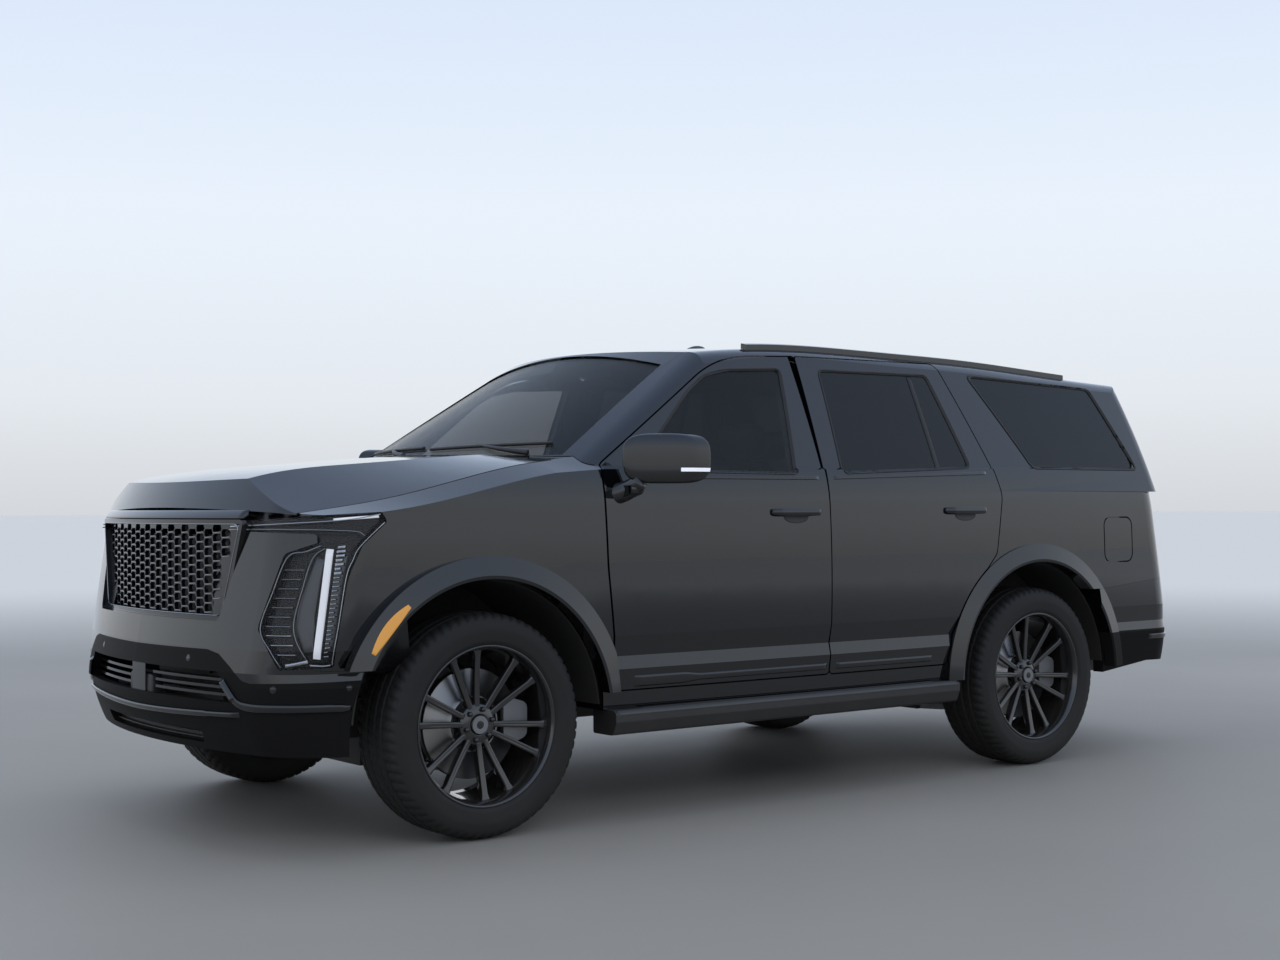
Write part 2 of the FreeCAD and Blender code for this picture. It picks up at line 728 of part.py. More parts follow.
def hood_plan(gap):
    """Solid of the bonnet's plan outline, grown by a gap."""
    half = d.hood_half + gap
    bow = 214
    points = (Vector(FAR, -half, 0), Vector(FAR, half, 0), Vector(hood_rear - gap, half, 0),
              Vector(hood_rear + bow - gap, 0, 0), Vector(hood_rear - gap, -half, 0))
    edges = (
        Part.LineSegment(points[0], points[1]),
        Part.LineSegment(points[1], points[2]),
        Part.Arc(points[2], points[3], points[4]),
        Part.LineSegment(points[4], points[0]),
    )
    face = Part.Face(Part.Wire([edge.toShape() for edge in edges]))
    return face.extrude(Vector(0, 0, FAR / 2))


hood_floor = prism("xz", ((FAR, 1470), (FRONT_TIP - 86, 1222), (FRONT_TIP - 261, 1189),
                          (hood_rear - 500, 1189), (hood_rear - 500, FAR / 2), (FAR, FAR / 2)),
                   -FAR, FAR)
hood = biggest(front_shell.common(hood_plan(0).common(hood_floor)))
feature("hood", hood)
hood_hole = hood_plan(d.shut_gap).common(hood_floor.translated(Vector(0, 0, -d.shut_gap)))

headlamp = biggest(left_front.common(lamp_zone).cut([hood_hole, nose_cut(grille_points, d.seam)]))
both_sides("headlamps", headlamp)

# Front wings and front bumper

fender_zone = prism("xz", ((FRONT_AXLE - 800, d.door_bottom), (FRONT_AXLE - 800, 1600),
                           (FRONT_AXLE + 691, 1600), (FRONT_AXLE + 691, 1150),
                           (FRONT_AXLE + 651, 1120), (FRONT_AXLE + 651, 650),
                           (FRONT_AXLE + 300, 650), (FRONT_AXLE + 300, d.door_bottom)), 0, 1200)
door_line = prism("xz", ((DOOR_FRONT[5][0] + d.shut_gap, 0), (DOOR_FRONT[5][0] + d.shut_gap, d.door_bottom),
                         (DOOR_FRONT[4][0] + d.shut_gap, 985, 900),
                         (DOOR_FRONT[3][0] + d.shut_gap, 1378), (DOOR_FRONT[3][0] + d.shut_gap, 1700),
                         (-FAR, 1700), (-FAR, 0)), 0, 1200)
fender_tools = [door_line, front_door_hole, lamp_hole, hood_hole, front_arch,
                block(-FAR, FAR, 0, 500, 0, FAR), screen_outline(0),
                block(0, hinge_pillar_back - 6 + d.seam, 0, 1200, 1350, FAR)]
fender = left_front.common(fender_zone).cut(fender_tools).fuse(
    flare(FRONT_AXLE).common(fender_zone).cut(fender_tools[:3])).removeSplitter()
both_sides("fenders", biggest(fender))

INTAKE = (
    (-700, 533, 20),
    (700, 533, 20),
    (585, 640, 20),
    (-585, 640, 20),
)
LOWER_SLOT = (
    (-430, 372, 10),
    (430, 372, 10),
    (450, 418, 10),
    (-450, 418, 10),
)


bumper_bottom = 346
bumper_zone = prism("xz", ((FRONT_AXLE + 300, bumper_bottom), (FRONT_AXLE + 300, 649),
                           (FRONT_AXLE + 652, 649), (FRONT_AXLE + 652, 1300), (FAR, 1300),
                           (FAR, bumper_bottom)), -FAR, FAR)
fender_gap = prism("xz", ((FRONT_AXLE + 250, 649), (FRONT_AXLE + 652, 649), (FRONT_AXLE + 652, 1121),
                          (FRONT_AXLE + 692, 1151), (FRONT_AXLE + 692, 1700), (FRONT_AXLE + 250, 1700)),
                   -FAR, FAR)
bumper_half = left_front.common(bumper_zone).cut(
    [lamp_hole, hood_hole, front_arch, fender_gap, nose_cut(grille_points), nose_cut(INTAKE),
     nose_cut(LOWER_SLOT)])
lip = flare(FRONT_AXLE).common(bumper_zone).cut(fender_gap)
bumper_half = biggest(joined([bumper_half, lip]))
feature("front_bumper", biggest(joined([bumper_half, mirrored(bumper_half)])))

# Grille: a bowed plate pierced by staggered lozenges, in a frame

GRILLE_BOW = 2700
grille_front = FRONT_TIP - 50


def bowed_plate(outline_solid, front, depth):
    """The part of a bowed wall, of a depth, inside an outline."""
    outer = Part.makeCylinder(GRILLE_BOW, 1000, Vector(front - GRILLE_BOW, 0, 300))
    inner = Part.makeCylinder(GRILLE_BOW - depth, 1000, Vector(front - GRILLE_BOW, 0, 300))
    return outer.cut(inner).common(outline_solid)


def lozenge(y, z):
    """One opening of the mesh: a hexagon whose tips meet its neighbours' flats."""
    flat = d.mesh_pitch / 5 - d.mesh_bar / 8
    tip = d.mesh_pitch * 3 / 10 - d.mesh_bar / 2
    rise = d.mesh_rise / 2 - d.mesh_bar / 3
    points = ((y - tip, z), (y - flat, z - rise), (y + flat, z - rise),
              (y + tip, z), (y + flat, z + rise), (y - flat, z + rise))
    wire = Part.makePolygon([Vector(grille_front - 300, *p) for p in points + points[:1]])
    return Part.Face(wire).extrude(Vector(400, 0, 0))


rows_of_mesh = int((d.grille_top - d.grille_bottom) / (d.mesh_rise / 2)) - 1
holes = []
for i in range(1, rows_of_mesh):
    z = d.grille_bottom + 8 + i * d.mesh_rise / 2
    share = (z - d.grille_bottom) / (d.grille_top - d.grille_bottom)
    half = d.grille_half_bottom + share * (d.grille_half_top - d.grille_half_bottom) - 30
    shift = d.mesh_pitch / 2 if i % 2 else 0
    count = int((half + shift) / d.mesh_pitch) + 1
    for j in range(-count, count + 1):
        y = j * d.mesh_pitch + shift
        if abs(y) + d.mesh_pitch / 2 < half:
            holes.append(lozenge(y, z))
grille = bowed_plate(nose_cut(grille_points, -d.fit), grille_front - 20, d.mesh_depth)
grille = grille.cut(Part.makeCompound(holes))
surround = bowed_plate(nose_cut(grille_points, -d.fit).cut(nose_cut(grille_points, -16)),
                       grille_front, 60)
grille = biggest(joined([grille, surround]))

slats = []
for z in (556, 582, 608):
    slats.append(bowed_plate(nose_cut(INTAKE, -d.fit).common(
        block(0, FAR, -FAR, FAR, z - 5, z + 5)), FRONT_TIP - 30, 40))
slats.append(bowed_plate(nose_cut(INTAKE, -d.fit).common(
    block(0, FAR, -62, 62, 0, FAR)), FRONT_TIP - 14, 56))
feature("grille", Part.makeCompound([grille, joined(slats)]))

# Body sides: sill, pillars, quarter panel and arch in one pressing

PILLAR_GAP = 2

roof_zone = prism("xy", ((FRONT_AXLE + 100, -d.roof_half), (FRONT_AXLE + 100, d.roof_half),
                         (TAILGATE_SPLIT + d.shut_gap, d.roof_half),
                         (TAILGATE_SPLIT + d.shut_gap, -d.roof_half)), 1780 + d.seam, FAR / 2)
roof_hole = prism("xy", ((FRONT_AXLE + 101, -d.roof_half - d.seam), (FRONT_AXLE + 101, d.roof_half + d.seam),
                         (TAILGATE_SPLIT, d.roof_half + d.seam), (TAILGATE_SPLIT, -d.roof_half - d.seam)),
                  1780, FAR / 2)
roof = side_shell.common(roof_zone).cut(screen_outline(0))
feature("roof_panel", biggest(roof))

rear_bumper_top = ((-FAR, 872), (REAR_AXLE - 985, 853), (REAR_AXLE - 543, 816), (REAR_AXLE - 300, 816))
bumper_line = prism("xz", rear_bumper_top + ((REAR_AXLE - 300, 0), (-FAR, 0)), -FAR, FAR)
wing_front = prism("xz", ((hinge_pillar_back - 6, 0), (hinge_pillar_back - 6, FAR), (FAR, FAR), (FAR, 0)),
                   0, FAR)
pillar_top = cabin_skin.cut(cabin_lining).common(wing_front).cut(
    [lower_body(-PILLAR_GAP), screen_outline(0), roof_hole])
side_zone = block(-FAR, hinge_pillar_back - 6, 640, FAR, d.sill_bottom, FAR)
bumper_hole = bumper_line.translated(Vector(0, 0, d.seam))
strip = prism("xz", ((DOOR_FRONT[5][0] - 60, d.door_bottom - d.seam), (DOOR_FRONT[5][0] - 60, 1350),
                     (FAR, 1350), (FAR, d.door_bottom - d.seam)), 0, 1200)
side = left_shell.common(side_zone).cut(
    [front_door_hole, rear_door_hole, front_arch, rear_arch, roof_hole, screen_outline(0), tail_hole,
     tail_lamp_hole, bumper_hole, side_cut(WINDOW_QUARTER, 0), strip])
rear_flare = flare(REAR_AXLE).cut([bumper_hole, block(-FAR, FAR, 0, FAR, 0, d.sill_bottom)])
b_pillar_low = block(pillar_x0, pillar_x1, 800, DOOR_INNER - d.shut_gap, d.sill_bottom, d.belt_height + 60)
b_pillar_foot = block(pillar_x0, pillar_x1, 800, DOOR_INNER + 20, d.sill_bottom,
                      d.door_bottom - d.shut_gap / 2)
post_skin = cabin(d.frame_depth + d.shut_gap)
post_lining = cabin(d.frame_depth + d.shut_gap + 40)
b_pillar_high = post_skin.cut(post_lining).common(
    block(pillar_x0, pillar_x1, 640, FAR, d.belt_height + d.shut_gap, FAR))
b_pillar_head = cabin(20).cut(post_lining).common(
    block(pillar_x0, pillar_x1, 600 + 90, FAR, 1874 + d.shut_gap, FAR))
hinge_pillar = block(hinge_pillar_back, hinge_pillar_back + 60, 790, 935, d.sill_bottom, 1336)
hinge_pillar = hinge_pillar.common(lower_body(d.panel + d.fit))
hinge_foot = block(hinge_pillar_back - 100, hinge_pillar_back + 60, 790, DOOR_INNER - d.shut_gap,
                   d.sill_bottom, 632)
hinge_pillar = joined([hinge_pillar, hinge_foot]).cut(front_arch)
door_pads = [block(pillar_x0 + 5, pillar_x0 + 50, DOOR_INNER - 2 * d.shut_gap, DOOR_INNER - d.fit, z, z + 60)
             for z in (700, 1120)]
sill_end = block(FRONT_AXLE - 680, hinge_pillar_back + 60, 790, 975, d.sill_bottom,
                 d.door_bottom - d.shut_gap / 2).cut(front_arch)
body_side = joined([side, rear_flare, pillar_top, b_pillar_low, b_pillar_foot, b_pillar_high, b_pillar_head,
                    hinge_pillar, sill_end] + door_pads)
body_side = solids_over(body_side, 50000)

# Fuel flap on the left rear wing is cut from it; the right side has none

FLAP_INNER = d.side_half_width - 60
flap = left_shell.common(side_cut(FUEL_FLAP, 0, FLAP_INNER, 1200))
pocket = side_cut(FUEL_FLAP, d.shut_gap + 1, FLAP_INNER - 8, 1200)
stop = block(REAR_AXLE - 660, REAR_AXLE - 600, FLAP_INNER - 10, FLAP_INNER - d.fit, 1030, 1070)
left_side = joined([body_side.cut(pocket), stop])
feature("body_sides", Part.makeCompound([left_side, mirrored(body_side)]))
feature("fuel_flap", biggest(flap))

# Rear bumper

rear_low = prism("xz", ((-FAR, 396), (REAR_AXLE - 900, 440), (REAR_AXLE - 440, 390), (REAR_AXLE - 440, 900),
                        (-FAR, 900)), -FAR, FAR)
rear_zone = rear_low.common(bumper_line)
rear_half = left_shell.common(rear_zone).cut(
    [tail_hole, rear_arch, tail_lamp_hole, block(REAR_TIP + 150, FAR, 0, 470, 0, FAR)])
rear_lip = flare(REAR_AXLE).common(rear_zone)
buffer = block(REAR_TIP + 110, REAR_TIP + 140, 480, 520, d.tailgate_bottom - 40, d.tailgate_bottom - d.fit)
rear_half = biggest(joined([rear_half, rear_lip, buffer]))
feature("rear_bumper", biggest(joined([rear_half, mirrored(rear_half)])))

# Cowl under the windscreen, firewall and floor

cowl = lower_body(d.panel + d.shut_gap).cut(lower_body(d.panel + d.shut_gap + 12))
cowl = cowl.common(block(d.firewall_back, hood_rear + 300, -780, 780, 1300, 1500))
feature("cowl_panel", biggest(cowl))

firewall = block(d.firewall_back, d.firewall_back + 22, -785, 785, FLOOR_TOP - 5, 1380)
side_plates = [block(d.firewall_back, hinge_pillar_back + 60, s * 785 - 11 + s * -7, s * 785 + 11 + s * -7,
                     FLOOR_TOP - 5, 1380) for s in (-1, 1)]
floor = room_plan(d.fit, FLOOR_BOTTOM, FLOOR_TOP).common(
    block(ROOM_REAR, d.firewall_back + 22, -FAR, FAR, 0, FAR))
posts = [block(pillar_x0 - d.fit, pillar_x1 + d.fit, *span, 0, FAR) for span in
         ((800 - d.fit, 1000), (-1000, -800 + d.fit))]
hinge_room = [block(FRONT_AXLE - 690, FAR, *span, 0, FAR) for span in
              ((790 - d.fit, 1000), (-1000, -790 + d.fit))]
floor = floor.cut([rear_arch, mirrored(rear_arch), front_arch, mirrored(front_arch)] + posts + hinge_room)
lid = lower_body(d.panel + d.shut_gap + 12 + d.fit)
walls = [wall.common(lid).cut([front_arch, mirrored(front_arch)]) for wall in [firewall] + side_plates]
feature("floor_pan", biggest(joined([floor] + walls)))

# Wheelhouse liners, open below


def liner(x, inner, outer, wall_foot):
    """Half drum over a wheel, with an inner wall above the suspension."""
    reach = d.arch_radius - d.fit
    drum = arch(x, reach, inner, outer).cut(arch(x, reach - d.liner_wall, inner + d.liner_wall, outer + 1))
    open_below = block(x - 700, x + 700, 0, 1200, -200, d.tyre_radius + 40)
    lower_wall = block(x - 700, x + 700, inner - 1, inner + d.liner_wall + 1, 0, wall_foot)
    return drum.cut([open_below, lower_wall])


liners = []
for x, inner, foot in ((FRONT_AXLE, d.front_liner_inner, 730), (REAR_AXLE, d.rear_liner_inner, 640)):
    piece = liner(x, inner, 952, foot)
    liners += [piece, mirrored(piece)]
shape = Part.makeCompound(liners)
feature("wheelhouse_liners", shape)

# Chassis: two rails and their cross members, as bound boxes


def bound_box(name, length, width, height, x, y, z):
    """Box whose sizes and place are expressions of the sheet."""
    box = doc.addObject("Part::Box", name)
    for prop, text in (("Length", length), ("Width", width), ("Height", height),
                       ("Placement.Base.x", x), ("Placement.Base.y", y), ("Placement.Base.z", z)):
        box.setExpression(prop, text)
    return box


FRONT_X = "sizes.overall_length / 2 - sizes.front_overhang"
REAR_X = "sizes.overall_length / 2 - sizes.front_overhang - sizes.wheelbase"
frame_parts = []
for side_name, y in (("left", "sizes.rail_outer - sizes.rail_width"), ("right", "-sizes.rail_outer")):
    frame_parts.append(bound_box("rail_" + side_name, "sizes.overall_length - 430 - sizes.fit", "sizes.rail_width",
                                 "sizes.rail_depth", "-sizes.overall_length / 2 + 190", y,
                                 "sizes.rail_top - sizes.rail_depth"))
# Cross member: name, place along X
CROSS_MEMBERS = (
    ("rear_end", "-sizes.overall_length / 2 + 190"),
    ("axle_rear", REAR_X + " - 420"),
    ("axle_front", REAR_X + " + 380"),
    ("middle", "sizes.pillar_split"),
    ("gearbox", FRONT_X + " - 700"),
    ("front_end", "sizes.overall_length / 2 - 380"),
)
for cross_name, x in CROSS_MEMBERS:
    frame_parts.append(bound_box("cross_" + cross_name, "sizes.cross_width", "2 * sizes.rail_outer - 20",
                                 "sizes.cross_depth", x, "-sizes.rail_outer + 10",
                                 "sizes.rail_top - sizes.cross_depth"))
ARM_LOW = "sizes.tyre_radius - sizes.ball_height - sizes.arm_depth"
# Cradle: name, length along X, place along X
CRADLES = (
    ("front", "440", FRONT_X + " - 220"),
    ("rear_fore", "100", REAR_X + " + 120"),
    ("rear_aft", "100", REAR_X + " - 220"),
)
for cradle_name, length, x in CRADLES:
    frame_parts.append(bound_box("cradle_" + cradle_name, length, "2 * sizes.rail_outer",
                                 "sizes.rail_top - sizes.rail_depth - sizes.tyre_radius + sizes.ball_height"
                                 " + sizes.arm_depth + 2", x, "-sizes.rail_outer", ARM_LOW))
for side_name, y in (("left", "sizes.rail_outer - sizes.rail_width"), ("right", "-sizes.rail_outer")):
    frame_parts.append(bound_box("tower_" + side_name, "200", "sizes.rail_width",
                                 "sizes.tyre_radius + 275 - sizes.rail_top", FRONT_X + " - 100", y,
                                 "sizes.rail_top - 10"))
frame_box = doc.addObject("Part::MultiFuse", "frame_members")
frame_box.Shapes = frame_parts
# Opening in both rails for the rear half shafts
shaft_room = doc.addObject("Part::Cylinder", "shaft_room")
shaft_room.Radius = 26
shaft_room.setExpression("Height", "2 * sizes.rail_outer")
shaft_room.Placement = Placement(Vector(), Rotation(Vector(1, 0, 0), -90))
for prop, text in (("x", REAR_X), ("y", "-sizes.rail_outer"), ("z", "sizes.tyre_radius - 5")):
    shaft_room.setExpression("Placement.Base." + prop, text)
frame_cut = doc.addObject("Part::Cut", "chassis_frame")
frame_cut.Base = frame_box
frame_cut.Tool = shaft_room
keep("chassis_frame", frame_cut)

engine = bound_box("engine_block", "sizes.engine_length", "sizes.engine_width", "sizes.engine_height",
                   FRONT_X + " - 270", "-sizes.engine_width / 2",
                   "sizes.rail_top - sizes.rail_depth + 2 + sizes.fit")
keep("engine_block", engine)

# Gearbox, propeller shaft and rear axle drive

gear_front = FRONT_AXLE - 270 - d.fit
gear_top = d.rail_top - d.cross_depth - d.fit
drive_z = 385
drive_half = 130
gearbox = prism("xz", ((gear_front, 300, 30), (gear_front, gear_top), (gear_front - 560, gear_top, 10),
                       (gear_front - 800, 420, 20), (gear_front - 800, 330, 20), (gear_front - 400, 300, 60)),
                -150, 150)
shaft = round_bar((gear_front - 799, 0, drive_z), (REAR_AXLE + 60, 0, drive_z), d.shaft_radius)
drive = Part.makeCylinder(95, 2 * drive_half, Vector(REAR_AXLE, -drive_half, drive_z), Vector(0, 1, 0))
feature("drivetrain", joined([gearbox, shaft, drive]))

tank = bound_box("fuel_tank", "820", "sizes.rail_outer - sizes.rail_width - 80 - sizes.fit", "120",
                 REAR_X + " + 500", "80", "sizes.rail_top - sizes.cross_depth - 125")
keep("fuel_tank", tank)

# Exhaust: pipe beside the shaft, silencer behind the rear axle

pipe_y = -240
silencer_front = REAR_AXLE - 520
exhaust_pipe = round_bar((gear_front - 300, pipe_y, 368), (silencer_front - 20, pipe_y, 368), d.pipe_radius)
silencer = prism("yz", ((-330, 290, 60), (-100, 290, 60), (-100, 420, 60), (-330, 420, 60)),
                 silencer_front - 480, silencer_front)
tail_pipe = round_bar((silencer_front - 470, -290, 350), (REAR_TIP + 200, -290, 350), d.pipe_radius)
# Hangers under the cross members: along X, across, foot
hangers = [block(x - 15, x + 15, y - 10, y + 10, z, gear_top)
           for x, y, z in ((75, pipe_y, 380), (REAR_AXLE + 425, pipe_y, 380), (REAR_TIP + 240, -290, 360))]
feature("exhaust", joined([exhaust_pipe, silencer, tail_pipe] + hangers))

# Suspension: arms, spring strut and hub carrier of each wheel

low_ball = d.tyre_radius - d.ball_height
high_ball = d.tyre_radius + d.ball_height + 10
carrier_y = (700, 830)


def arm(x, z0, span):
    """Two-legged arm from the frame to the ball joint."""
    y = d.kingpin_middle
    points = ((x - 24, y + 20, 20), (x - span, d.rail_outer + d.fit), (x - span + 60, d.rail_outer + d.fit),
              (x, y - 90, 20), (x + span - 60, d.rail_outer + d.fit), (x + span, d.rail_outer + d.fit),
              (x + 24, y + 20, 20))
    return prism("xy", points, z0, z0 + d.arm_depth)


SPRING_BACK = 115
SPRING_Y = 520


def strut(axle_x, top):
    """Spring strut from the lower arm's rear leg to its bracket on the frame."""
    x = axle_x - SPRING_BACK
    rod = round_bar((x, SPRING_Y, low_ball - 10), (x, SPRING_Y, top), 16)
    coil = round_bar((x, SPRING_Y, low_ball + 60), (x, SPRING_Y, top - 14), 46)
    bracket = block(x - 60, x + 60, d.rail_outer + d.fit, 580, top - 15, top)
    return joined([rod, coil, bracket])


def carrier(x):
    """Upright with its stub axle; the hub turns on it."""
    upright = block(x - 46, x + 46, *carrier_y, low_ball + 26, high_ball - 26)
    posts_up = round_bar((x, d.kingpin_middle, low_ball + d.fit), (x, d.kingpin_middle, high_ball - d.fit), 24)
    stub = round_bar((x, carrier_y[1] - 5, d.tyre_radius),
                     (x, d.wheel_middle + d.mount_face + 45, d.tyre_radius), d.hub_bore - 2 * d.fit)
    caliper_block = prism("xz", ((x - 130, 320, 30), (x - 130, 514, 30), (x - 236, 480, 30), (x - 236, 354, 30)),
                          d.wheel_middle + d.mount_face - d.disc_gap - d.disc_thickness - 44,
                          d.wheel_middle + d.mount_face - d.disc_gap + 26)
    slot = Part.makeCylinder(d.disc_radius + 5, d.disc_thickness + 10,
                             Vector(x, d.wheel_middle + d.mount_face - d.disc_gap - d.disc_thickness - 5,
                                    d.tyre_radius), Vector(0, 1, 0))
    bridge = block(x - 140, x - 30, 772, 806, 380, 454)
    return joined([upright, posts_up, stub, caliper_block.cut(slot), bridge])


def lower_link(x, top):
    """Lower arm with the strut standing on it."""
    return joined([arm(x, low_ball - d.arm_depth, 200), strut(x, top)])


spring_room = round_bar((FRONT_AXLE - SPRING_BACK, SPRING_Y, 0), (FRONT_AXLE - SPRING_BACK, SPRING_Y, 1000), 52)
rear_arm_height = 440
links = [
    lower_link(FRONT_AXLE, d.tyre_radius + 240),
    arm(FRONT_AXLE, high_ball, 95).cut(spring_room),
    joined([lower_link(REAR_AXLE, d.rail_top - 4), arm(REAR_AXLE, rear_arm_height, 95), carrier(REAR_AXLE),
            round_bar((REAR_AXLE, d.kingpin_middle, low_ball - 10),
                      (REAR_AXLE, d.kingpin_middle, d.tyre_radius), 20),
            round_bar((REAR_AXLE, drive_half + d.fit, d.tyre_radius - 5),
                      (REAR_AXLE, 710, d.tyre_radius - 5), 16)]),
]
feature("suspension", Part.makeCompound(links + [mirrored(link) for link in links]))
left_and_right("knuckle", carrier(FRONT_AXLE))

# Wheels: tyre, rim and brake disc, each turned about its own axle


def plane_of(body, role):
    """One of a body's own origin planes."""
    return next(f for f in body.Origin.OriginFeatures if f.Role == role)


def wheel_body(name, x, side_sign):
    """Empty body at a wheel's centre, its outer face towards the near side."""
    body = doc.addObject("PartDesign::Body", name)
    turn = Rotation() if side_sign > 0 else Rotation(Vector(0, 0, 1), 180)
    body.Placement = Placement(Vector(0, 0, 0), turn)
    body.setExpression("Placement.Base.x", x)
    body.setExpression("Placement.Base.y", f"{side_sign} * sizes.wheel_middle")
    body.setExpression("Placement.Base.z", "sizes.tyre_radius")
    return body


def profile_sketch(body, name, points, bindings):
    """Closed sketch in the plane across the axle; u is the radius, v along the axle."""
    sketch = body.newObject("Sketcher::SketchObject", name)
    sketch.AttachmentSupport = [(plane_of(body, "XY_Plane"), "")]
    sketch.MapMode = "FlatFace"
    count = len(points)
    for i, (u, v) in enumerate(points):
        sketch.addGeometry(Part.LineSegment(Vector(u, v, 0), Vector(*points[(i + 1) % count], 0)), False)
    import Sketcher
    for i in range(count):
        sketch.addConstraint(Sketcher.Constraint("Coincident", i, 2, (i + 1) % count, 1))
    for i, (radius, along) in enumerate(bindings):
        for kind, text in (("DistanceX", radius), ("DistanceY", along)):
            value = points[i][0] if kind == "DistanceX" else points[i][1]
            index = sketch.addConstraint(Sketcher.Constraint(kind, -1, 1, i, 1, value))
            sketch.setExpression(f"Constraints[{index}]", text)
    return sketch


def revolve(body, name, points, bindings):
    """Full turn of a profile about the axle."""
    sketch = profile_sketch(body, name + "_profile", points, bindings)
    turned = body.newObject("PartDesign::Revolution", name)
    turned.Profile = sketch
    turned.ReferenceAxis = (sketch, ["V_Axis"])
    turned.Angle = 360
    body.Tip = turned
    return turned


def expression_points(pairs):
    """Numbers of a list of (radius, along) expressions, from the sheet."""
    scope = {alias: getattr(d, alias) for alias, _, _ in SIZES}

    def number(text):
        total = 0
        for term in text.replace("- ", "+ -").split("+ "):
            value = 1
            for factor in term.strip().split(" * "):
                sign = -1 if factor.startswith("-") else 1
                word = factor.lstrip("-").strip()
                top_part, _, divisor = word.partition(" / ")
                worth = scope[top_part[6:]] if top_part.startswith("sizes.") else float(top_part)
                value *= sign * worth / (float(divisor) if divisor else 1)
            total += value
        return total

    return [(number(u), number(v)) for u, v in pairs]


# Radius and place along the axle of each corner of a profile
TYRE_PROFILE = (
    ("sizes.rim_radius", "-sizes.tyre_width / 2 + 22"),
    ("sizes.rim_radius + 20", "-sizes.tyre_width / 2 + 4"),
    ("sizes.tyre_radius - 62", "-sizes.tyre_width / 2"),
    ("sizes.tyre_radius - 14", "-sizes.tyre_width / 2 + 14"),
    ("sizes.tyre_radius", "-sizes.tyre_width / 2 + 40"),
    ("sizes.tyre_radius", "sizes.tyre_width / 2 - 40"),
    ("sizes.tyre_radius - 14", "sizes.tyre_width / 2 - 14"),
    ("sizes.tyre_radius - 62", "sizes.tyre_width / 2"),
    ("sizes.rim_radius + 20", "sizes.tyre_width / 2 - 4"),
    ("sizes.rim_radius", "sizes.tyre_width / 2 - 22"),
)
BARREL_PROFILE = (
    ("sizes.rim_radius - sizes.fit", "-sizes.tyre_width / 2 + 12"),
    ("sizes.rim_radius - sizes.fit", "sizes.tyre_width / 2 - 12"),
    ("sizes.rim_radius - 8", "sizes.tyre_width / 2 - 12"),
    ("sizes.rim_radius - sizes.rim_depth", "sizes.wheel_face - 12"),
    ("sizes.rim_radius - sizes.rim_depth", "-sizes.tyre_width / 2 + 12"),
)
HUB_PROFILE = (
    ("sizes.hub_bore", "sizes.mount_face"),
    ("sizes.hub_radius", "sizes.mount_face"),
    ("sizes.hub_radius", "sizes.wheel_face - 38"),
    ("sizes.hub_radius - 24", "sizes.wheel_face - 22"),
    ("sizes.hub_bore", "sizes.wheel_face - 22"),
)
DISC_PROFILE = (
    ("sizes.hub_bore", "sizes.mount_face - sizes.fit"),
    ("sizes.hub_bore", "sizes.mount_face - sizes.disc_gap - sizes.disc_thickness"),
    ("sizes.disc_radius", "sizes.mount_face - sizes.disc_gap - sizes.disc_thickness"),
    ("sizes.disc_radius", "sizes.mount_face - sizes.disc_gap"),
    ("sizes.hub_radius + 20", "sizes.mount_face - sizes.disc_gap"),
    ("sizes.hub_radius + 20", "sizes.mount_face - sizes.fit"),
)
SPOKE_PAIRS = 6


def rim_form():
    """Rim worked out in code: barrel, boss and vee spokes that dish inwards."""
    def turned(pairs):
        points = [Vector(u, v, 0) for u, v in expression_points(pairs)]
        face = Part.Face(Part.makePolygon(points + points[:1]))
        return face.revolve(Vector(), Vector(0, 1, 0), 360)

    shapes = [turned(BARREL_PROFILE), turned(HUB_PROFILE)]
    inner = d.hub_radius - 16
    outer = d.rim_radius - d.rim_depth / 2
    half = d.spoke_width / 2
    for k in range(2 * SPOKE_PAIRS):
        tilt = 1 if k % 2 else -1
        foot = tilt * (half + 1)
        tip = tilt * 58
        back = d.wheel_face - d.spoke_depth
        corners = ((foot - half, inner), (foot + half, inner), (tip + half * 0.7, outer),
                   (tip - half * 0.7, outer))
        wire = Part.makePolygon([Vector(u, back - 4, v) for u, v in corners + corners[:1]])
        spoke = Part.Face(wire).extrude(Vector(0, d.spoke_depth, 0))
        dish = prism("yz", ((back - 60, inner - 20), (d.wheel_face - 30, inner - 20), (d.wheel_face - 24, inner + 30),
                            (d.wheel_face - 5, outer + 20), (back - 60, outer + 20)), -200, 200)
        spoke = spoke.common(dish)
        spoke.rotate(Vector(), Vector(0, 1, 0), 360 / SPOKE_PAIRS * (k // 2) + 15)
        shapes.append(spoke)
    return joined(shapes)


rim_shape = rim_form()
CORNERS = (
    ("front_left", FRONT_X, FRONT_AXLE, 1),
    ("front_right", FRONT_X, FRONT_AXLE, -1),
    ("rear_left", REAR_X, REAR_AXLE, 1),
    ("rear_right", REAR_X, REAR_AXLE, -1),
)
for corner_name, x_text, x, sign in CORNERS:
    tyre = wheel_body("tyre_" + corner_name, x_text, sign)
    revolve(tyre, "carcass_" + corner_name, expression_points(TYRE_PROFILE), TYRE_PROFILE)
    keep("tyre_" + corner_name, tyre)
    disc = wheel_body("brake_disc_" + corner_name, x_text, sign)
    revolve(disc, "rotor_" + corner_name, expression_points(DISC_PROFILE), DISC_PROFILE)
    keep("brake_disc_" + corner_name, disc)
    rim_feature = feature("rim_" + corner_name, rim_shape)
    turn = Rotation() if sign > 0 else Rotation(Vector(0, 0, 1), 180)
    rim_feature.Placement = Placement(Vector(x, sign * d.wheel_middle, d.tyre_radius), turn)

# Running boards and roof rails

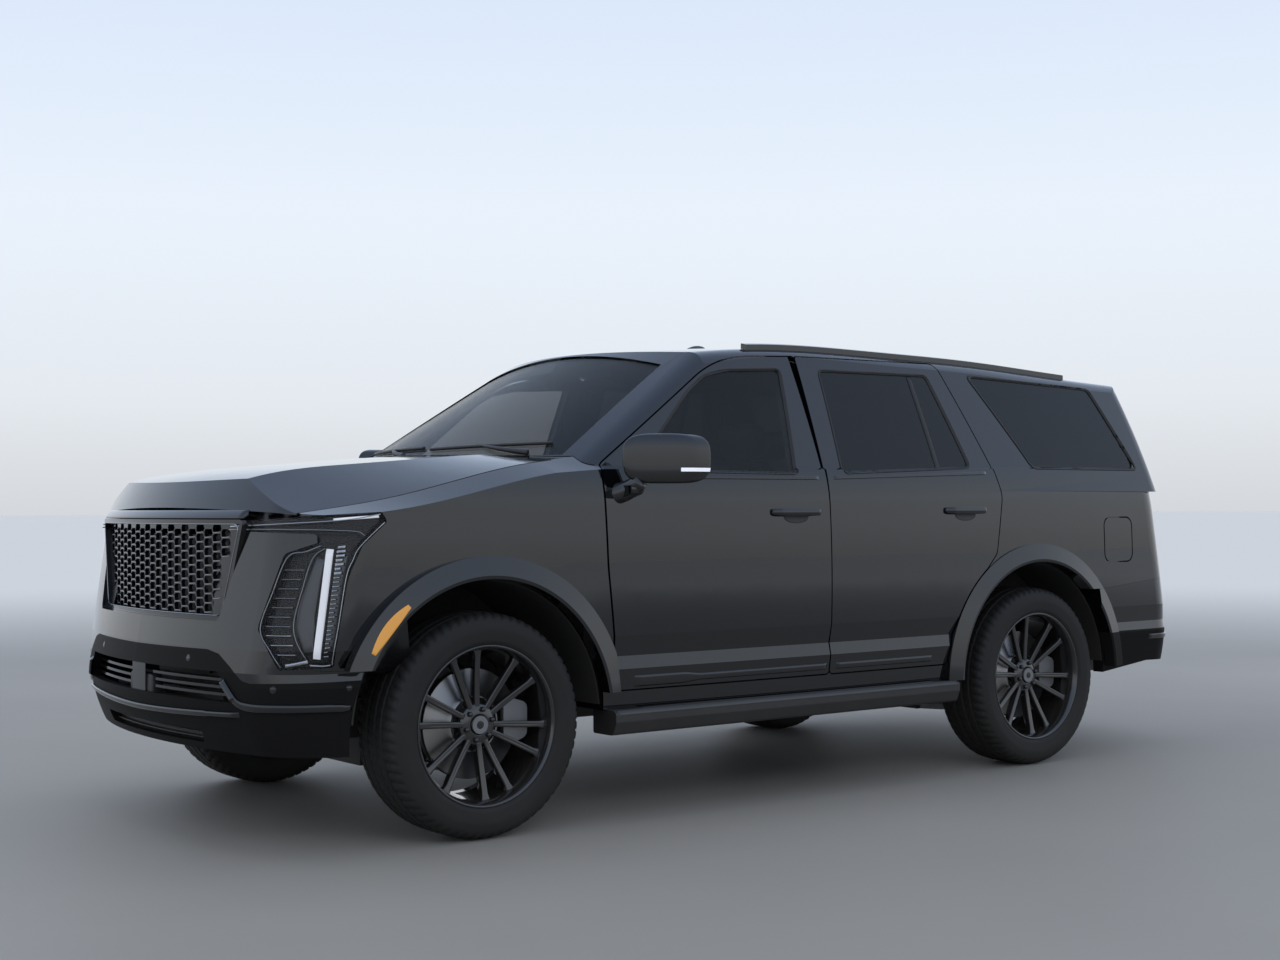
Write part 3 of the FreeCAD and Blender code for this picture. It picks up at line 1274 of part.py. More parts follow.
board_front = FRONT_AXLE - 560
board_rear = REAR_AXLE + 575
board_outer = d.flare_half_width
board = prism("yz", ((board_outer - d.board_width, d.sill_bottom - d.fit - d.board_depth, 10),
                     (board_outer - 20, d.sill_bottom - d.fit - d.board_depth, 20),
                     (board_outer, d.sill_bottom - 45, 14), (board_outer, d.sill_bottom - d.fit - 12, 12),
                     (board_outer - 14, d.sill_bottom - d.fit, 0),
                     (board_outer - d.board_width, d.sill_bottom - d.fit)), board_rear, board_front)
feature("running_boards", Part.makeCompound([board, mirrored(board)]))

rail_blade = block(REAR_AXLE - 520, FRONT_AXLE - 1480, d.roof_rail_half - 16, d.roof_rail_half + 16, 1800, 2000)
rail_high = cabin(-24)
rail_low = cabin(-d.fit)
roof_rail = rail_blade.common(rail_high).cut(rail_low)
feature("roof_rails", Part.makeCompound([biggest(roof_rail), mirrored(biggest(roof_rail))]))

# Radiator behind the grille, with the bonnet's catch on top

radiator_front = FRONT_TIP - 190
radiator = block(radiator_front - 50, radiator_front, -470, 470, 400, 1120)
catch_post = block(radiator_front - 50, radiator_front - 20, -40, 40, 1100, 1500).common(
    lower_body(d.panel + d.fit))
bumper_beam = block(radiator_front, radiator_front + 60, -500, 500, 470, 540)
fascia_ties = [block(radiator_front, FAR, y - 20, y + 20, 480, 520).common(lower_body(d.panel + d.fit))
               for y in (-400, 400)]
feature("radiator", joined([radiator, catch_post, bumper_beam] + fascia_ties))

# Dashboard with its centre console, and the steering wheel

dash_back = d.firewall_back - d.fit
column = (FRONT_AXLE - 1040, d.seat_middle, 1090)
dash = prism("xz", ((dash_back, 640, 10), (dash_back, 1330, 30), (dash_back - 200, 1345, 60),
                    (dash_back - 360, 1290, 60), (dash_back - 400, 1120, 50), (dash_back - 250, 940, 60),
                    (dash_back - 160, 640, 30)), -DOOR_INNER + 40, DOOR_INNER - 40)
console = prism("xz", ((dash_back - 150, FLOOR_TOP + d.fit), (dash_back - 150, 1000, 60),
                       (dash_back - 420, 960, 60), (dash_back - 620, 850, 60), (50, 850, 40),
                       (50, FLOOR_TOP + d.fit)), -140, 140)
tilt = math.radians(d.steering_tilt)
axis = Vector(-math.cos(tilt), 0, math.sin(tilt))
column_start = Vector(*column) - axis * 240
column_bar = Part.makeCylinder(32, 240 - 30 - d.fit, column_start, axis)
feature("dashboard", joined([dash, console, column_bar]))

hub = Part.makeCylinder(46, 46, Vector(*column) - axis * 30, axis)
grip_points = [Vector(d.wheel_rim_radius + d.wheel_rim_grip * math.cos(math.radians(a)), 0,
                      d.wheel_rim_grip * math.sin(math.radians(a))) for a in range(30, 391, 60)]
grip = Part.Face(Part.makePolygon(grip_points)).revolve(Vector(), Vector(0, 0, 1), 360)
grip.Placement = Placement(Vector(*column), Rotation(Vector(0, 0, 1), axis))
bars = []
for angle in (0, 180, 270):
    bar = Part.makeBox(d.wheel_rim_radius - 30, 30, 14, Vector(30, -15, -12))
    bar.rotate(Vector(), Vector(0, 0, 1), angle)
    bar.rotate(Vector(), Vector(0, 0, 1), 90)
    bar.Placement = Placement(Vector(*column), Rotation(Vector(0, 0, 1), axis)).multiply(bar.Placement)
    bars.append(bar)
feature("steering_wheel", joined([hub, grip] + bars))

# Seats: plain closed forms, cushion, backrest and headrest in one


def seat(front, width, middle, lift):
    """Side profile of a seat carried across its width."""
    x = front
    points = ((x, FLOOR_TOP + d.fit), (x, 800 + lift, 40), (x - 30, 880 + lift, 40), (x - 420, 830 + lift, 60),
              (x - 560, 1420 + lift, 30), (x - 590, 1590 + lift, 30), (x - 690, 1600 + lift, 40),
              (x - 690, 1430 + lift, 40), (x - 600, 820 + lift, 60), (x - 560, FLOOR_TOP + d.fit))
    return prism("xz", points, middle - width / 2, middle + width / 2)


seat_front = FRONT_AXLE - 1110
front_seats = [seat(seat_front, d.seat_width, s * d.seat_middle, 0) for s in (1, -1)]
liner_room = arch(REAR_AXLE, d.arch_radius + d.shut_gap, d.rear_liner_inner - d.shut_gap, 1200)
middle_seats = [seat(seat_front - d.seat_pitch, d.seat_width, s * d.seat_middle, 20).cut(
    liner_room if s > 0 else mirrored(liner_room)) for s in (1, -1)]
rear_bench = seat(seat_front - d.bench_pitch, 2 * d.bench_half, 0, 20)
feature("seats", Part.makeCompound(front_seats + middle_seats + [rear_bench]))

# Door mirrors: swept head on an upright post at the end of its foot

head_low = mirror_foot_height + 40 + d.fit
head_high = head_low + d.mirror_height + 30
head_end = foot_y + d.mirror_width
head_plan = ((foot_x + 60, foot_y - 16, 30), (foot_x + 30, foot_y + 50, 60), (foot_x - 110, head_end - 6, 60),
             (foot_x - 256, head_end, 24), (foot_x - 236, head_end - 60, 20), (foot_x - 70, foot_y - 20, 20))
head_face = ((foot_y - 60, head_low, 30), (foot_y + 60, head_low, 50), (head_end + 20, head_low + 50, 60),
             (head_end + 20, head_high - 20, 60), (foot_y + 40, head_high, 60), (foot_y - 60, head_high - 20, 40))
head = prism("xy", head_plan, head_low, head_high).common(
    prism("yz", head_face, foot_x - 300, foot_x + 200))
pivot = Part.makeCylinder(22, 60, Vector(foot_x, foot_y, head_low))
left_and_right("mirror", joined([head, pivot]))

# Every object is checked before anything is written

doc.recompute()
for thing in doc.Objects:
    bad = [state for state in thing.State if state in ("Invalid", "Error")]
    if bad:
        raise RuntimeError(f"{thing.Name} is {bad}")
os.makedirs("parts", exist_ok=True)
for name, thing in NODES.items():
    shape = thing.Shape
    if shape.isNull() or not shape.isValid() or not shape.Solids:
        raise RuntimeError(f"{name} has no valid shape")
for name, thing in NODES.items():
    thing.Shape.exportStep(f"parts/{name}.step")
    print(name, len(thing.Shape.Solids), round(thing.Shape.Volume / 1e6, 2))
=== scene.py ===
import math

import bmesh
import bpy
import numpy as np
from mathutils import Matrix, Vector


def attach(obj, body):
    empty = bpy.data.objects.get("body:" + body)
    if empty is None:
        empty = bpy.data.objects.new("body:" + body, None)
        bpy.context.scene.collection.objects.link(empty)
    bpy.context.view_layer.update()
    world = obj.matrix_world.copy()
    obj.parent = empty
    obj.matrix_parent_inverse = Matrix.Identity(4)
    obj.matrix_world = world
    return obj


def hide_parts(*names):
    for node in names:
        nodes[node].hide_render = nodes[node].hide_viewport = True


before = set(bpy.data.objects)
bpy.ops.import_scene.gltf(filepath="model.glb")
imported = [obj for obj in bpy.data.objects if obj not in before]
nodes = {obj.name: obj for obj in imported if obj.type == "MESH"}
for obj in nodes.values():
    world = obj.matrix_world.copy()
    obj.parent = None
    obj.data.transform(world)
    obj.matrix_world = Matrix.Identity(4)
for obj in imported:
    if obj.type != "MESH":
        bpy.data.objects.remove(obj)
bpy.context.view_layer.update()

# Camera: on the photographer's place in front of the left headlamp, solved
# from the wheels. It looks level along the car from chest height.

CAMERA_PLACE = (5.2827, 6.4872, 1.2121)
CAMERA_YAW = math.radians(-127.664)
CAMERA_PITCH = math.radians(0.925)
CAMERA_ROLL = math.radians(-0.176)

camera_data = bpy.data.cameras.new("camera")
camera_data.sensor_width = 36
camera_data.lens = 49.87
camera = bpy.data.objects.new("camera", camera_data)
bpy.context.scene.collection.objects.link(camera)
ahead = Vector((math.cos(CAMERA_YAW) * math.cos(CAMERA_PITCH), math.sin(CAMERA_YAW) * math.cos(CAMERA_PITCH),
                math.sin(CAMERA_PITCH)))
camera.matrix_world = (Matrix.Translation(CAMERA_PLACE) @ ahead.to_track_quat("-Z", "Y").to_matrix().to_4x4()
                       @ Matrix.Rotation(CAMERA_ROLL, 4, "Z"))
bpy.context.scene.camera = camera
bpy.context.scene.view_settings.view_transform = "Standard"

# Studio: an even pale light on everything, and for the eye and the shiny
# parts a pale horizon that turns blue-grey overhead; soft boxes add some form.

world = bpy.data.worlds.new("studio_sky")
bpy.context.scene.world = world
world.use_nodes = True
sky = world.node_tree
sky.nodes.clear()


def wire(tree, source, target):
    """Joins an output socket to an input socket."""
    tree.links.new(source, target)


def add(tree, kind, **values):
    """A new node; values set its properties."""
    node = tree.nodes.new(kind)
    for key, value in values.items():
        setattr(node, key, value)
    return node


sky_out = add(sky, "ShaderNodeOutputWorld")
sky_mix = add(sky, "ShaderNodeMixShader")
sky_light = add(sky, "ShaderNodeBackground")
sky_seen = add(sky, "ShaderNodeBackground")
sky_rays = add(sky, "ShaderNodeLightPath")
sky_place = add(sky, "ShaderNodeTexCoord")
sky_split = add(sky, "ShaderNodeSeparateXYZ")
sky_ramp = add(sky, "ShaderNodeValToRGB")
wire(sky, sky_place.outputs["Generated"], sky_split.inputs[0])
sky_half = add(sky, "ShaderNodeMath", operation="MULTIPLY_ADD")
sky_half.inputs[1].default_value = 0.5
sky_half.inputs[2].default_value = 0.5
wire(sky, sky_split.outputs[2], sky_half.inputs[0])
wire(sky, sky_half.outputs[0], sky_ramp.inputs[0])
# Half the upward part of the view plus a half, and the colour seen there
SKY_STOPS = ((0.0, (0.30, 0.28, 0.26, 1)), (1.0, (0.40, 0.53, 0.80, 1)), (0.499, (0.66, 0.68, 0.71, 1)),
             (0.53, (0.78, 0.82, 0.87, 1)), (0.58, (0.82, 0.89, 0.98, 1)), (0.70, (0.60, 0.73, 0.95, 1)))
for number, (place, colour) in enumerate(SKY_STOPS):
    stop = sky_ramp.color_ramp.elements[number] if number < 2 else sky_ramp.color_ramp.elements.new(place)
    stop.position = place
    stop.color = colour
wire(sky, sky_ramp.outputs[0], sky_seen.inputs["Color"])
sky_light.inputs["Color"].default_value = (0.86, 0.90, 0.96, 1)
sky_light.inputs["Strength"].default_value = 0.85
sky_eye = add(sky, "ShaderNodeMath", operation="ADD", use_clamp=True)
sky_glass = add(sky, "ShaderNodeMath", operation="ADD", use_clamp=True)
wire(sky, sky_rays.outputs["Is Camera Ray"], sky_eye.inputs[0])
wire(sky, sky_rays.outputs["Is Glossy Ray"], sky_eye.inputs[1])
wire(sky, sky_eye.outputs[0], sky_glass.inputs[0])
wire(sky, sky_rays.outputs["Is Transmission Ray"], sky_glass.inputs[1])
wire(sky, sky_glass.outputs[0], sky_mix.inputs[0])
wire(sky, sky_light.outputs[0], sky_mix.inputs[1])
wire(sky, sky_seen.outputs[0], sky_mix.inputs[2])
wire(sky, sky_mix.outputs[0], sky_out.inputs[0])

# Soft box: place, width, length, watts
SOFT_BOXES = (
    ("roof_light", (0.4, 0.0, 5.2), 2.6, 6.5, 70),
    ("left_light", (2.6, 6.2, 3.6), 4.6, 1.5, 60),
    ("right_light", (0.0, -6.4, 3.4), 6.0, 1.4, 55),
    ("nose_light", (7.2, 0.6, 2.9), 1.2, 3.4, 34),
    ("tail_light", (-7.0, 0.0, 3.0), 1.2, 3.6, 36),
)
LIT_POINT = (0, 0, 0.7)
for name, place, width, length, watts in SOFT_BOXES:
    lamp = bpy.data.lights.new(name, "AREA")
    lamp.shape = "RECTANGLE"
    lamp.size = width
    lamp.size_y = length
    lamp.energy = watts
    lamp_object = bpy.data.objects.new(name, lamp)
    aim = (Vector(LIT_POINT) - Vector(place)).to_track_quat("-Z", "Y").to_matrix().to_4x4()
    lamp_object.matrix_world = Matrix.Translation(place) @ aim
    lamp_object.visible_glossy = False
    bpy.context.scene.collection.objects.link(lamp_object)


def grid(points, wrap_u=False, wrap_v=False):
    """Vertices and quads of a grid: points[i, j] is one vertex, and each cell is a quad.

    A wrapped direction joins its last row to its first one.
    """
    n, m = points.shape[:2]
    i, j = np.meshgrid(np.arange(n if wrap_u else n - 1), np.arange(m if wrap_v else m - 1), indexing="ij")
    i2 = (i + 1) % n
    j2 = (j + 1) % m
    quads = np.stack([i * m + j, i2 * m + j, i2 * m + j2, i * m + j2], -1).reshape(-1, 4)
    return points.reshape(-1, 3), quads


def piece(name, parts, material, body=None, smooth=True):
    """Mesh object of several (vertices, quads) pairs, riding on a body."""
    starts = np.cumsum([0] + [len(v) for v, _ in parts])
    vertices = np.concatenate([v for v, _ in parts])
    quads = np.concatenate([q + s for (_, q), s in zip(parts, starts)])
    mesh = bpy.data.meshes.new(name)
    mesh.from_pydata(vertices.tolist(), [], quads.tolist())
    joined = bmesh.new()
    joined.from_mesh(mesh)
    bmesh.ops.remove_doubles(joined, verts=joined.verts, dist=1e-6)
    bmesh.ops.recalc_face_normals(joined, faces=joined.faces)
    joined.to_mesh(mesh)
    joined.free()
    mesh.polygons.foreach_set("use_smooth", np.full(len(mesh.polygons), smooth))
    made = bpy.data.objects.new(name, mesh)
    bpy.context.scene.collection.objects.link(made)
    made.data.materials.append(material)
    if body:
        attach(made, body)
    return made


def slotted(name, parts, material, body="root"):
    """A piece on a body, with its material."""
    made = piece(name, parts, material, body)
    return made


def blank_material(name, rough, metal=0.0, coat=0.0, coat_rough=0.03, ior=1.5):
    """Material with a Principled shader and Object coordinates at hand."""
    made = bpy.data.materials.new(name)
    made.use_nodes = True
    tree = made.node_tree
    shader = tree.nodes["Principled BSDF"]
    shader.inputs["Roughness"].default_value = rough
    shader.inputs["Metallic"].default_value = metal
    shader.inputs["Coat Weight"].default_value = coat
    shader.inputs["Coat Roughness"].default_value = coat_rough
    shader.inputs["IOR"].default_value = ior
    place = add(tree, "ShaderNodeTexCoord")
    return made, tree, shader, place.outputs["Object"]


# The floor is smooth grey concrete that fades into the pale horizon.

floor_stuff, tree, shader, place = blank_material("pale_floor", 0.62)
clouds = add(tree, "ShaderNodeTexNoise")
clouds.inputs["Scale"].default_value = 0.8
clouds.inputs["Detail"].default_value = 6
wire(tree, place, clouds.inputs["Vector"])
tone = add(tree, "ShaderNodeValToRGB")
tone.color_ramp.elements[0].color = (0.22, 0.22, 0.218, 1)
tone.color_ramp.elements[1].color = (0.26, 0.26, 0.258, 1)
wire(tree, clouds.outputs[0], tone.inputs[0])
away = add(tree, "ShaderNodeVectorMath", operation="LENGTH")
fade = add(tree, "ShaderNodeMapRange", interpolation_type="SMOOTHSTEP")
fade.inputs["From Min"].default_value = 3.5
fade.inputs["From Max"].default_value = 22
paler = add(tree, "ShaderNodeMix", data_type="RGBA")
paler.inputs[7].default_value = (0.84, 0.84, 0.84, 1)
wire(tree, place, away.inputs[0])
wire(tree, away.outputs["Value"], fade.inputs["Value"])
wire(tree, fade.outputs[0], paler.inputs[0])
wire(tree, tone.outputs[0], paler.inputs[6])
wire(tree, paler.outputs[2], shader.inputs["Base Color"])
u, v = np.meshgrid(np.linspace(-400, 400, 81), np.linspace(-400, 400, 81), indexing="ij")
floor = piece("studio_floor", [grid(np.stack([u, v, u * 0], -1))], floor_stuff)

# Shader groups that several finishes share.


def shader_group(name, inputs, outputs):
    """Empty shader group with named sockets: (name, kind, value)."""
    group = bpy.data.node_groups.new(name, "ShaderNodeTree")
    for label, kind, value in inputs:
        socket = group.interface.new_socket(label, in_out="INPUT", socket_type=kind)
        if value is not None:
            socket.default_value = value
    for label, kind in outputs:
        group.interface.new_socket(label, in_out="OUTPUT", socket_type=kind)
    return group, group.nodes.new("NodeGroupInput"), group.nodes.new("NodeGroupOutput")


# Road film: a faint grey dust that gathers low on the car and in patches.
road_film, film_in, film_out = shader_group(
    "road_film",
    (("Place", "NodeSocketVector", None), ("Clean", "NodeSocketColor", (0, 0, 0, 1)),
     ("Dust", "NodeSocketColor", (0.16, 0.145, 0.125, 1)), ("Height", "NodeSocketFloat", 0.9),
     ("Amount", "NodeSocketFloat", 0.1), ("Gloss", "NodeSocketFloat", 0.2)),
    (("Color", "NodeSocketColor"), ("Roughness", "NodeSocketFloat")))
film_split = add(road_film, "ShaderNodeSeparateXYZ")
film_noise = add(road_film, "ShaderNodeTexNoise")
film_noise.inputs["Scale"].default_value = 9
film_noise.inputs["Detail"].default_value = 8
film_fall = add(road_film, "ShaderNodeMapRange")
film_fall.inputs["From Min"].default_value = 0
film_fall.inputs["To Min"].default_value = 1
film_fall.inputs["To Max"].default_value = 0.08
film_mask = add(road_film, "ShaderNodeMath", operation="MULTIPLY")
film_scale = add(road_film, "ShaderNodeMath", operation="MULTIPLY")
film_mix = add(road_film, "ShaderNodeMix", data_type="RGBA")
film_rough = add(road_film, "ShaderNodeMath", operation="MULTIPLY_ADD")
film_rough.inputs[1].default_value = 0.8
wire(road_film, film_in.outputs["Place"], film_split.inputs[0])
wire(road_film, film_in.outputs["Place"], film_noise.inputs["Vector"])
wire(road_film, film_split.outputs[2], film_fall.inputs["Value"])
wire(road_film, film_in.outputs["Height"], film_fall.inputs["From Max"])
wire(road_film, film_noise.outputs[0], film_mask.inputs[0])
wire(road_film, film_fall.outputs[0], film_mask.inputs[1])
wire(road_film, film_mask.outputs[0], film_scale.inputs[0])
wire(road_film, film_in.outputs["Amount"], film_scale.inputs[1])
wire(road_film, film_scale.outputs[0], film_mix.inputs[0])
wire(road_film, film_in.outputs["Clean"], film_mix.inputs[6])
wire(road_film, film_in.outputs["Dust"], film_mix.inputs[7])
wire(road_film, film_scale.outputs[0], film_rough.inputs[0])
wire(road_film, film_in.outputs["Gloss"], film_rough.inputs[2])
wire(road_film, film_mix.outputs[2], film_out.inputs["Color"])
wire(road_film, film_rough.outputs[0], film_out.inputs["Roughness"])

# Grain: fine pebbled or speckled relief, with its own scale and depth.
grain, grain_in, grain_out = shader_group(
    "grain",
    (("Place", "NodeSocketVector", None), ("Scale", "NodeSocketFloat", 400.0),
     ("Depth", "NodeSocketFloat", 0.2)),
    (("Normal", "NodeSocketVector"), ("Mask", "NodeSocketFloat")))
grain_cells = add(grain, "ShaderNodeTexVoronoi")
grain_noise = add(grain, "ShaderNodeTexNoise")
grain_noise.inputs["Detail"].default_value = 3
grain_sum = add(grain, "ShaderNodeMath", operation="MULTIPLY_ADD")
grain_sum.inputs[1].default_value = 0.6
grain_bump = add(grain, "ShaderNodeBump")
grain_bump.inputs["Distance"].default_value = 0.002
for node in (grain_cells, grain_noise):
    wire(grain, grain_in.outputs["Place"], node.inputs["Vector"])
    wire(grain, grain_in.outputs["Scale"], node.inputs["Scale"])
wire(grain, grain_cells.outputs["Distance"], grain_sum.inputs[0])
wire(grain, grain_noise.outputs[0], grain_sum.inputs[2])
wire(grain, grain_sum.outputs[0], grain_bump.inputs["Height"])
wire(grain, grain_in.outputs["Depth"], grain_bump.inputs["Strength"])
wire(grain, grain_bump.outputs[0], grain_out.inputs["Normal"])
wire(grain, grain_noise.outputs[0], grain_out.inputs["Mask"])


def finish(name, colour, rough, metal=0.0, coat=0.0, coat_rough=0.03, grain_scale=0, grain_depth=0.1,
           dust=0.1, dust_height=0.9, ior=1.5):
    """Material with road film over a clean colour and, if asked, a grain."""
    made, tree, shader, place = blank_material(name, rough, metal, coat, coat_rough, ior)
    film = add(tree, "ShaderNodeGroup", node_tree=road_film)
    film.inputs["Clean"].default_value = (*colour, 1)
    film.inputs["Height"].default_value = dust_height
    film.inputs["Amount"].default_value = dust
    film.inputs["Gloss"].default_value = rough
    wire(tree, place, film.inputs["Place"])
    wire(tree, film.outputs["Color"], shader.inputs["Base Color"])
    wire(tree, film.outputs["Roughness"], shader.inputs["Roughness"])
    if grain_scale:
        relief = add(tree, "ShaderNodeGroup", node_tree=grain)
        relief.inputs["Scale"].default_value = grain_scale
        relief.inputs["Depth"].default_value = grain_depth
        wire(tree, place, relief.inputs["Place"])
        wire(tree, relief.outputs["Normal"], shader.inputs["Normal"])
    return made


def glass(name, colour, rough, see_through, ior=1.45):
    """Tinted pane: glossy over a dark tint that lets some light through."""
    made, tree, shader, place = blank_material(name, rough, ior=ior)
    shader.inputs["Alpha"].default_value = 1 - see_through
    film = add(tree, "ShaderNodeGroup", node_tree=road_film)
    film.inputs["Clean"].default_value = (*colour, 1)
    film.inputs["Amount"].default_value = 0.03
    film.inputs["Gloss"].default_value = rough
    wire(tree, place, film.inputs["Place"])
    wire(tree, film.outputs["Color"], shader.inputs["Base Color"])
    wire(tree, film.outputs["Roughness"], shader.inputs["Roughness"])
    return made


def dress(material, *names):
    """Gives CAD nodes a material."""
    for name in names:
        mesh = nodes[name].data
        mesh.materials.clear()
        mesh.materials.append(material)


# Painted panels: pressed steel with black lacquer under a clear coat.

SIDES = (("left", 1), ("right", -1))
PAINT_COLOUR = (0.0020, 0.0024, 0.0034)
PAINT_IOR = 1.12
COAT_IOR = 1.68
paint = finish("black_lacquer", PAINT_COLOUR, 0.16, coat=1.0, coat_rough=0.015, dust=0.015, dust_height=0.8,
               ior=PAINT_IOR)
paint.node_tree.nodes["Principled BSDF"].inputs["Coat IOR"].default_value = COAT_IOR
gloss_black = finish("gloss_black", (0.006, 0.006, 0.007), 0.12, coat=0.6, dust=0.05)
satin_black = finish("satin_black", (0.018, 0.018, 0.019), 0.42, grain_scale=700, grain_depth=0.12, dust=0.14)
dress(paint, "door_front_left", "door_front_right", "door_rear_left", "door_rear_right", "fenders",
      "body_sides", "hood", "roof_panel", "tailgate", "front_bumper", "rear_bumper", "fuel_flap")

# Panes: dark privacy glass behind the front doors, a clear windscreen.

privacy_glass = glass("privacy_glass", (0.004, 0.0045, 0.005), 0.02, 0.12)
door_glass = glass("door_glass", (0.006, 0.008, 0.008), 0.02, 0.45)
screen_glass = glass("screen_glass", (0.010, 0.013, 0.013), 0.02, 0.62)
dress(privacy_glass, "window_rear_left", "window_rear_right", "quarter_windows", "rear_window")
dress(door_glass, "window_front_left", "window_front_right")
dress(screen_glass, "windscreen")

red_lens = finish("red_lens", (0.16, 0.004, 0.004), 0.06, coat=1.0, dust=0.02)
dress(red_lens, "tail_lamps")
dress(gloss_black, "grille", "roof_rails")
dress(satin_black, "cowl_panel", "running_boards")

rubber = finish("tyre_rubber", (0.010, 0.010, 0.0105), 0.62, grain_scale=900, grain_depth=0.15, dust=0.10,
                dust_height=0.95, ior=1.4)
rim_lacquer = finish("rim_lacquer", (0.008, 0.008, 0.009), 0.14, coat=0.9, dust=0.12)
disc_iron = finish("disc_iron", (0.30, 0.29, 0.28), 0.32, metal=1.0, dust=0.2)
frame_black = finish("frame_black", (0.012, 0.012, 0.012), 0.5, grain_scale=260, grain_depth=0.15, dust=0.4)
cast_metal = finish("cast_metal", (0.28, 0.28, 0.29), 0.45, metal=1.0, grain_scale=300, grain_depth=0.3,
                    dust=0.4)
pipe_steel = finish("pipe_steel", (0.32, 0.30, 0.28), 0.35, metal=1.0, dust=0.3)
felt = finish("liner_felt", (0.014, 0.014, 0.014), 0.9, grain_scale=500, grain_depth=0.5, dust=0.3)
leather = finish("seat_leather", (0.030, 0.026, 0.024), 0.42, grain_scale=330, grain_depth=0.25, dust=0)
cabin_plastic = finish("cabin_plastic", (0.020, 0.020, 0.021), 0.55, grain_scale=450, grain_depth=0.2, dust=0)
dress(frame_black, "chassis_frame", "floor_pan", "radiator", "fuel_tank")
dress(felt, "wheelhouse_liners")
dress(cast_metal, "engine_block", "drivetrain", "suspension", "knuckle_left", "knuckle_right")
dress(pipe_steel, "exhaust")
dress(cabin_plastic, "dashboard")
dress(leather, "steering_wheel")

# Front bumper: a painted moulding over a satin black lower half with parking
# sensors, a sensor cover in the intake, and bright lacquered lip and strakes.


NOSE_RADIUS = 2.7


def smooth_line(points, count):
    """Curve of count places through the points, by Catmull-Rom between each two."""
    p = np.asarray(points, float)
    p = np.concatenate([2 * p[:1] - p[1:2], p, 2 * p[-1:] - p[-2:-1]])
    t = np.linspace(0, len(points) - 1, count)
    k = np.minimum(t.astype(int), len(points) - 2)
    s = (t - k)[:, None]
    a, b, c, d = p[k], p[k + 1], p[k + 2], p[k + 3]
    return 0.5 * (2 * b + (c - a) * s + (2 * a - 5 * b + 4 * c - d) * s ** 2 + (3 * b - a - 3 * c + d) * s ** 3)


def pressed(names, turn, across, height, lift=0.0):
    """Points laid on the skin of CAD nodes, going straight in along a direction.

    The direction's azimuth is turn in degrees, or "top"; across and height are the point's places square to
    it, and the point ends lift above the outermost skin. From the top, height is counted towards the rear.
    """
    across, height, lift = np.broadcast_arrays(across, height, lift)
    if turn == "top":
        place = Matrix(((0, 0, -1, 0), (0, 1, 0, 0), (1, 0, 0, 0), (0, 0, 0, 1)))
    else:
        place = Matrix.Rotation(math.radians(turn), 4, "Z")
    start = np.stack([np.full(across.size, 4.0), across.ravel(), height.ravel()], -1)
    depth = np.full(across.size, -9.0)
    for name in names:
        mesh = bpy.data.meshes.new("stencil")
        mesh.from_pydata(start.tolist(), [], [])
        stencil = bpy.data.objects.new("stencil", mesh)
        bpy.context.scene.collection.objects.link(stencil)
        stencil.matrix_world = place
        press = stencil.modifiers.new("press", "SHRINKWRAP")
        press.wrap_method = "PROJECT"
        press.use_project_x = True
        press.use_positive_direction = False
        press.use_negative_direction = True
        press.target = nodes[name]
        found = np.empty(across.size * 3, np.float32)
        stencil.evaluated_get(bpy.context.evaluated_depsgraph_get()).data.vertices.foreach_get("co", found)
        found = found.reshape(-1, 3)[:, 0]
        depth = np.where(found < 3.99, np.maximum(depth, found), depth)
        bpy.data.objects.remove(stencil)
        bpy.data.meshes.remove(mesh)
    met = depth > np.median(depth[depth > -8]) - 0.35
    order = np.arange(across.size)
    depth = np.interp(order, order[met], depth[met])
    local = np.stack([depth + lift.ravel(), start[:, 1], start[:, 2]], -1)
    return (local @ np.array(place.to_3x3()).T).reshape(across.shape + (3,))


def pair(points, wrap_u=False, wrap_v=False):
    """Grid of a left-hand surface, and of its mirror image on the right."""
    return [grid(points, wrap_u, wrap_v), grid((points * (1, -1, 1))[::-1], wrap_u, wrap_v)]


def bead(names, turn, line, width, rise, base=0.0, closed=False, sunk=0.003):
    """Points of a low moulding on the skin along a line of (across, height) places.

    Its section is a flat cushion, rounded over at both edges, which go down into the skin.
    """
    way = np.roll(line, -1, 0) - np.roll(line, 1, 0) if closed else np.gradient(line, axis=0)
    way /= np.linalg.norm(way, axis=1, keepdims=True)
    width = np.broadcast_to(width, len(line))[:, None]
    t = np.array((-1.0, -0.98, -0.86, -0.6, 0.0, 0.6, 0.86, 0.98, 1.0))
    lift = base + rise * np.array((0.0, 0.3, 0.8, 1.0, 1.04, 1.0, 0.8, 0.3, 0.0))
    lift[[0, -1]] = base - sunk
    across = line[:, :1] - way[:, 1:] * t * width / 2
    height = line[:, 1:] + way[:, :1] * t * width / 2
    lift = np.repeat(lift[None], len(line), 0)
    if not closed:
        lift[[0, -1]] = base - sunk
        lift[[1, -2]] = np.minimum(lift[[1, -2]], base + rise * 0.6)
    return pressed(names, turn, across, height, lift)


def slanted(points, turn=50):
    """Places square to a level direction of (x, y, z) points."""
    p = np.asarray(points, float)
    a = math.radians(turn)
    return np.stack([-p[:, 0] * math.sin(a) + p[:, 1] * math.cos(a), p[:, 2]], -1)


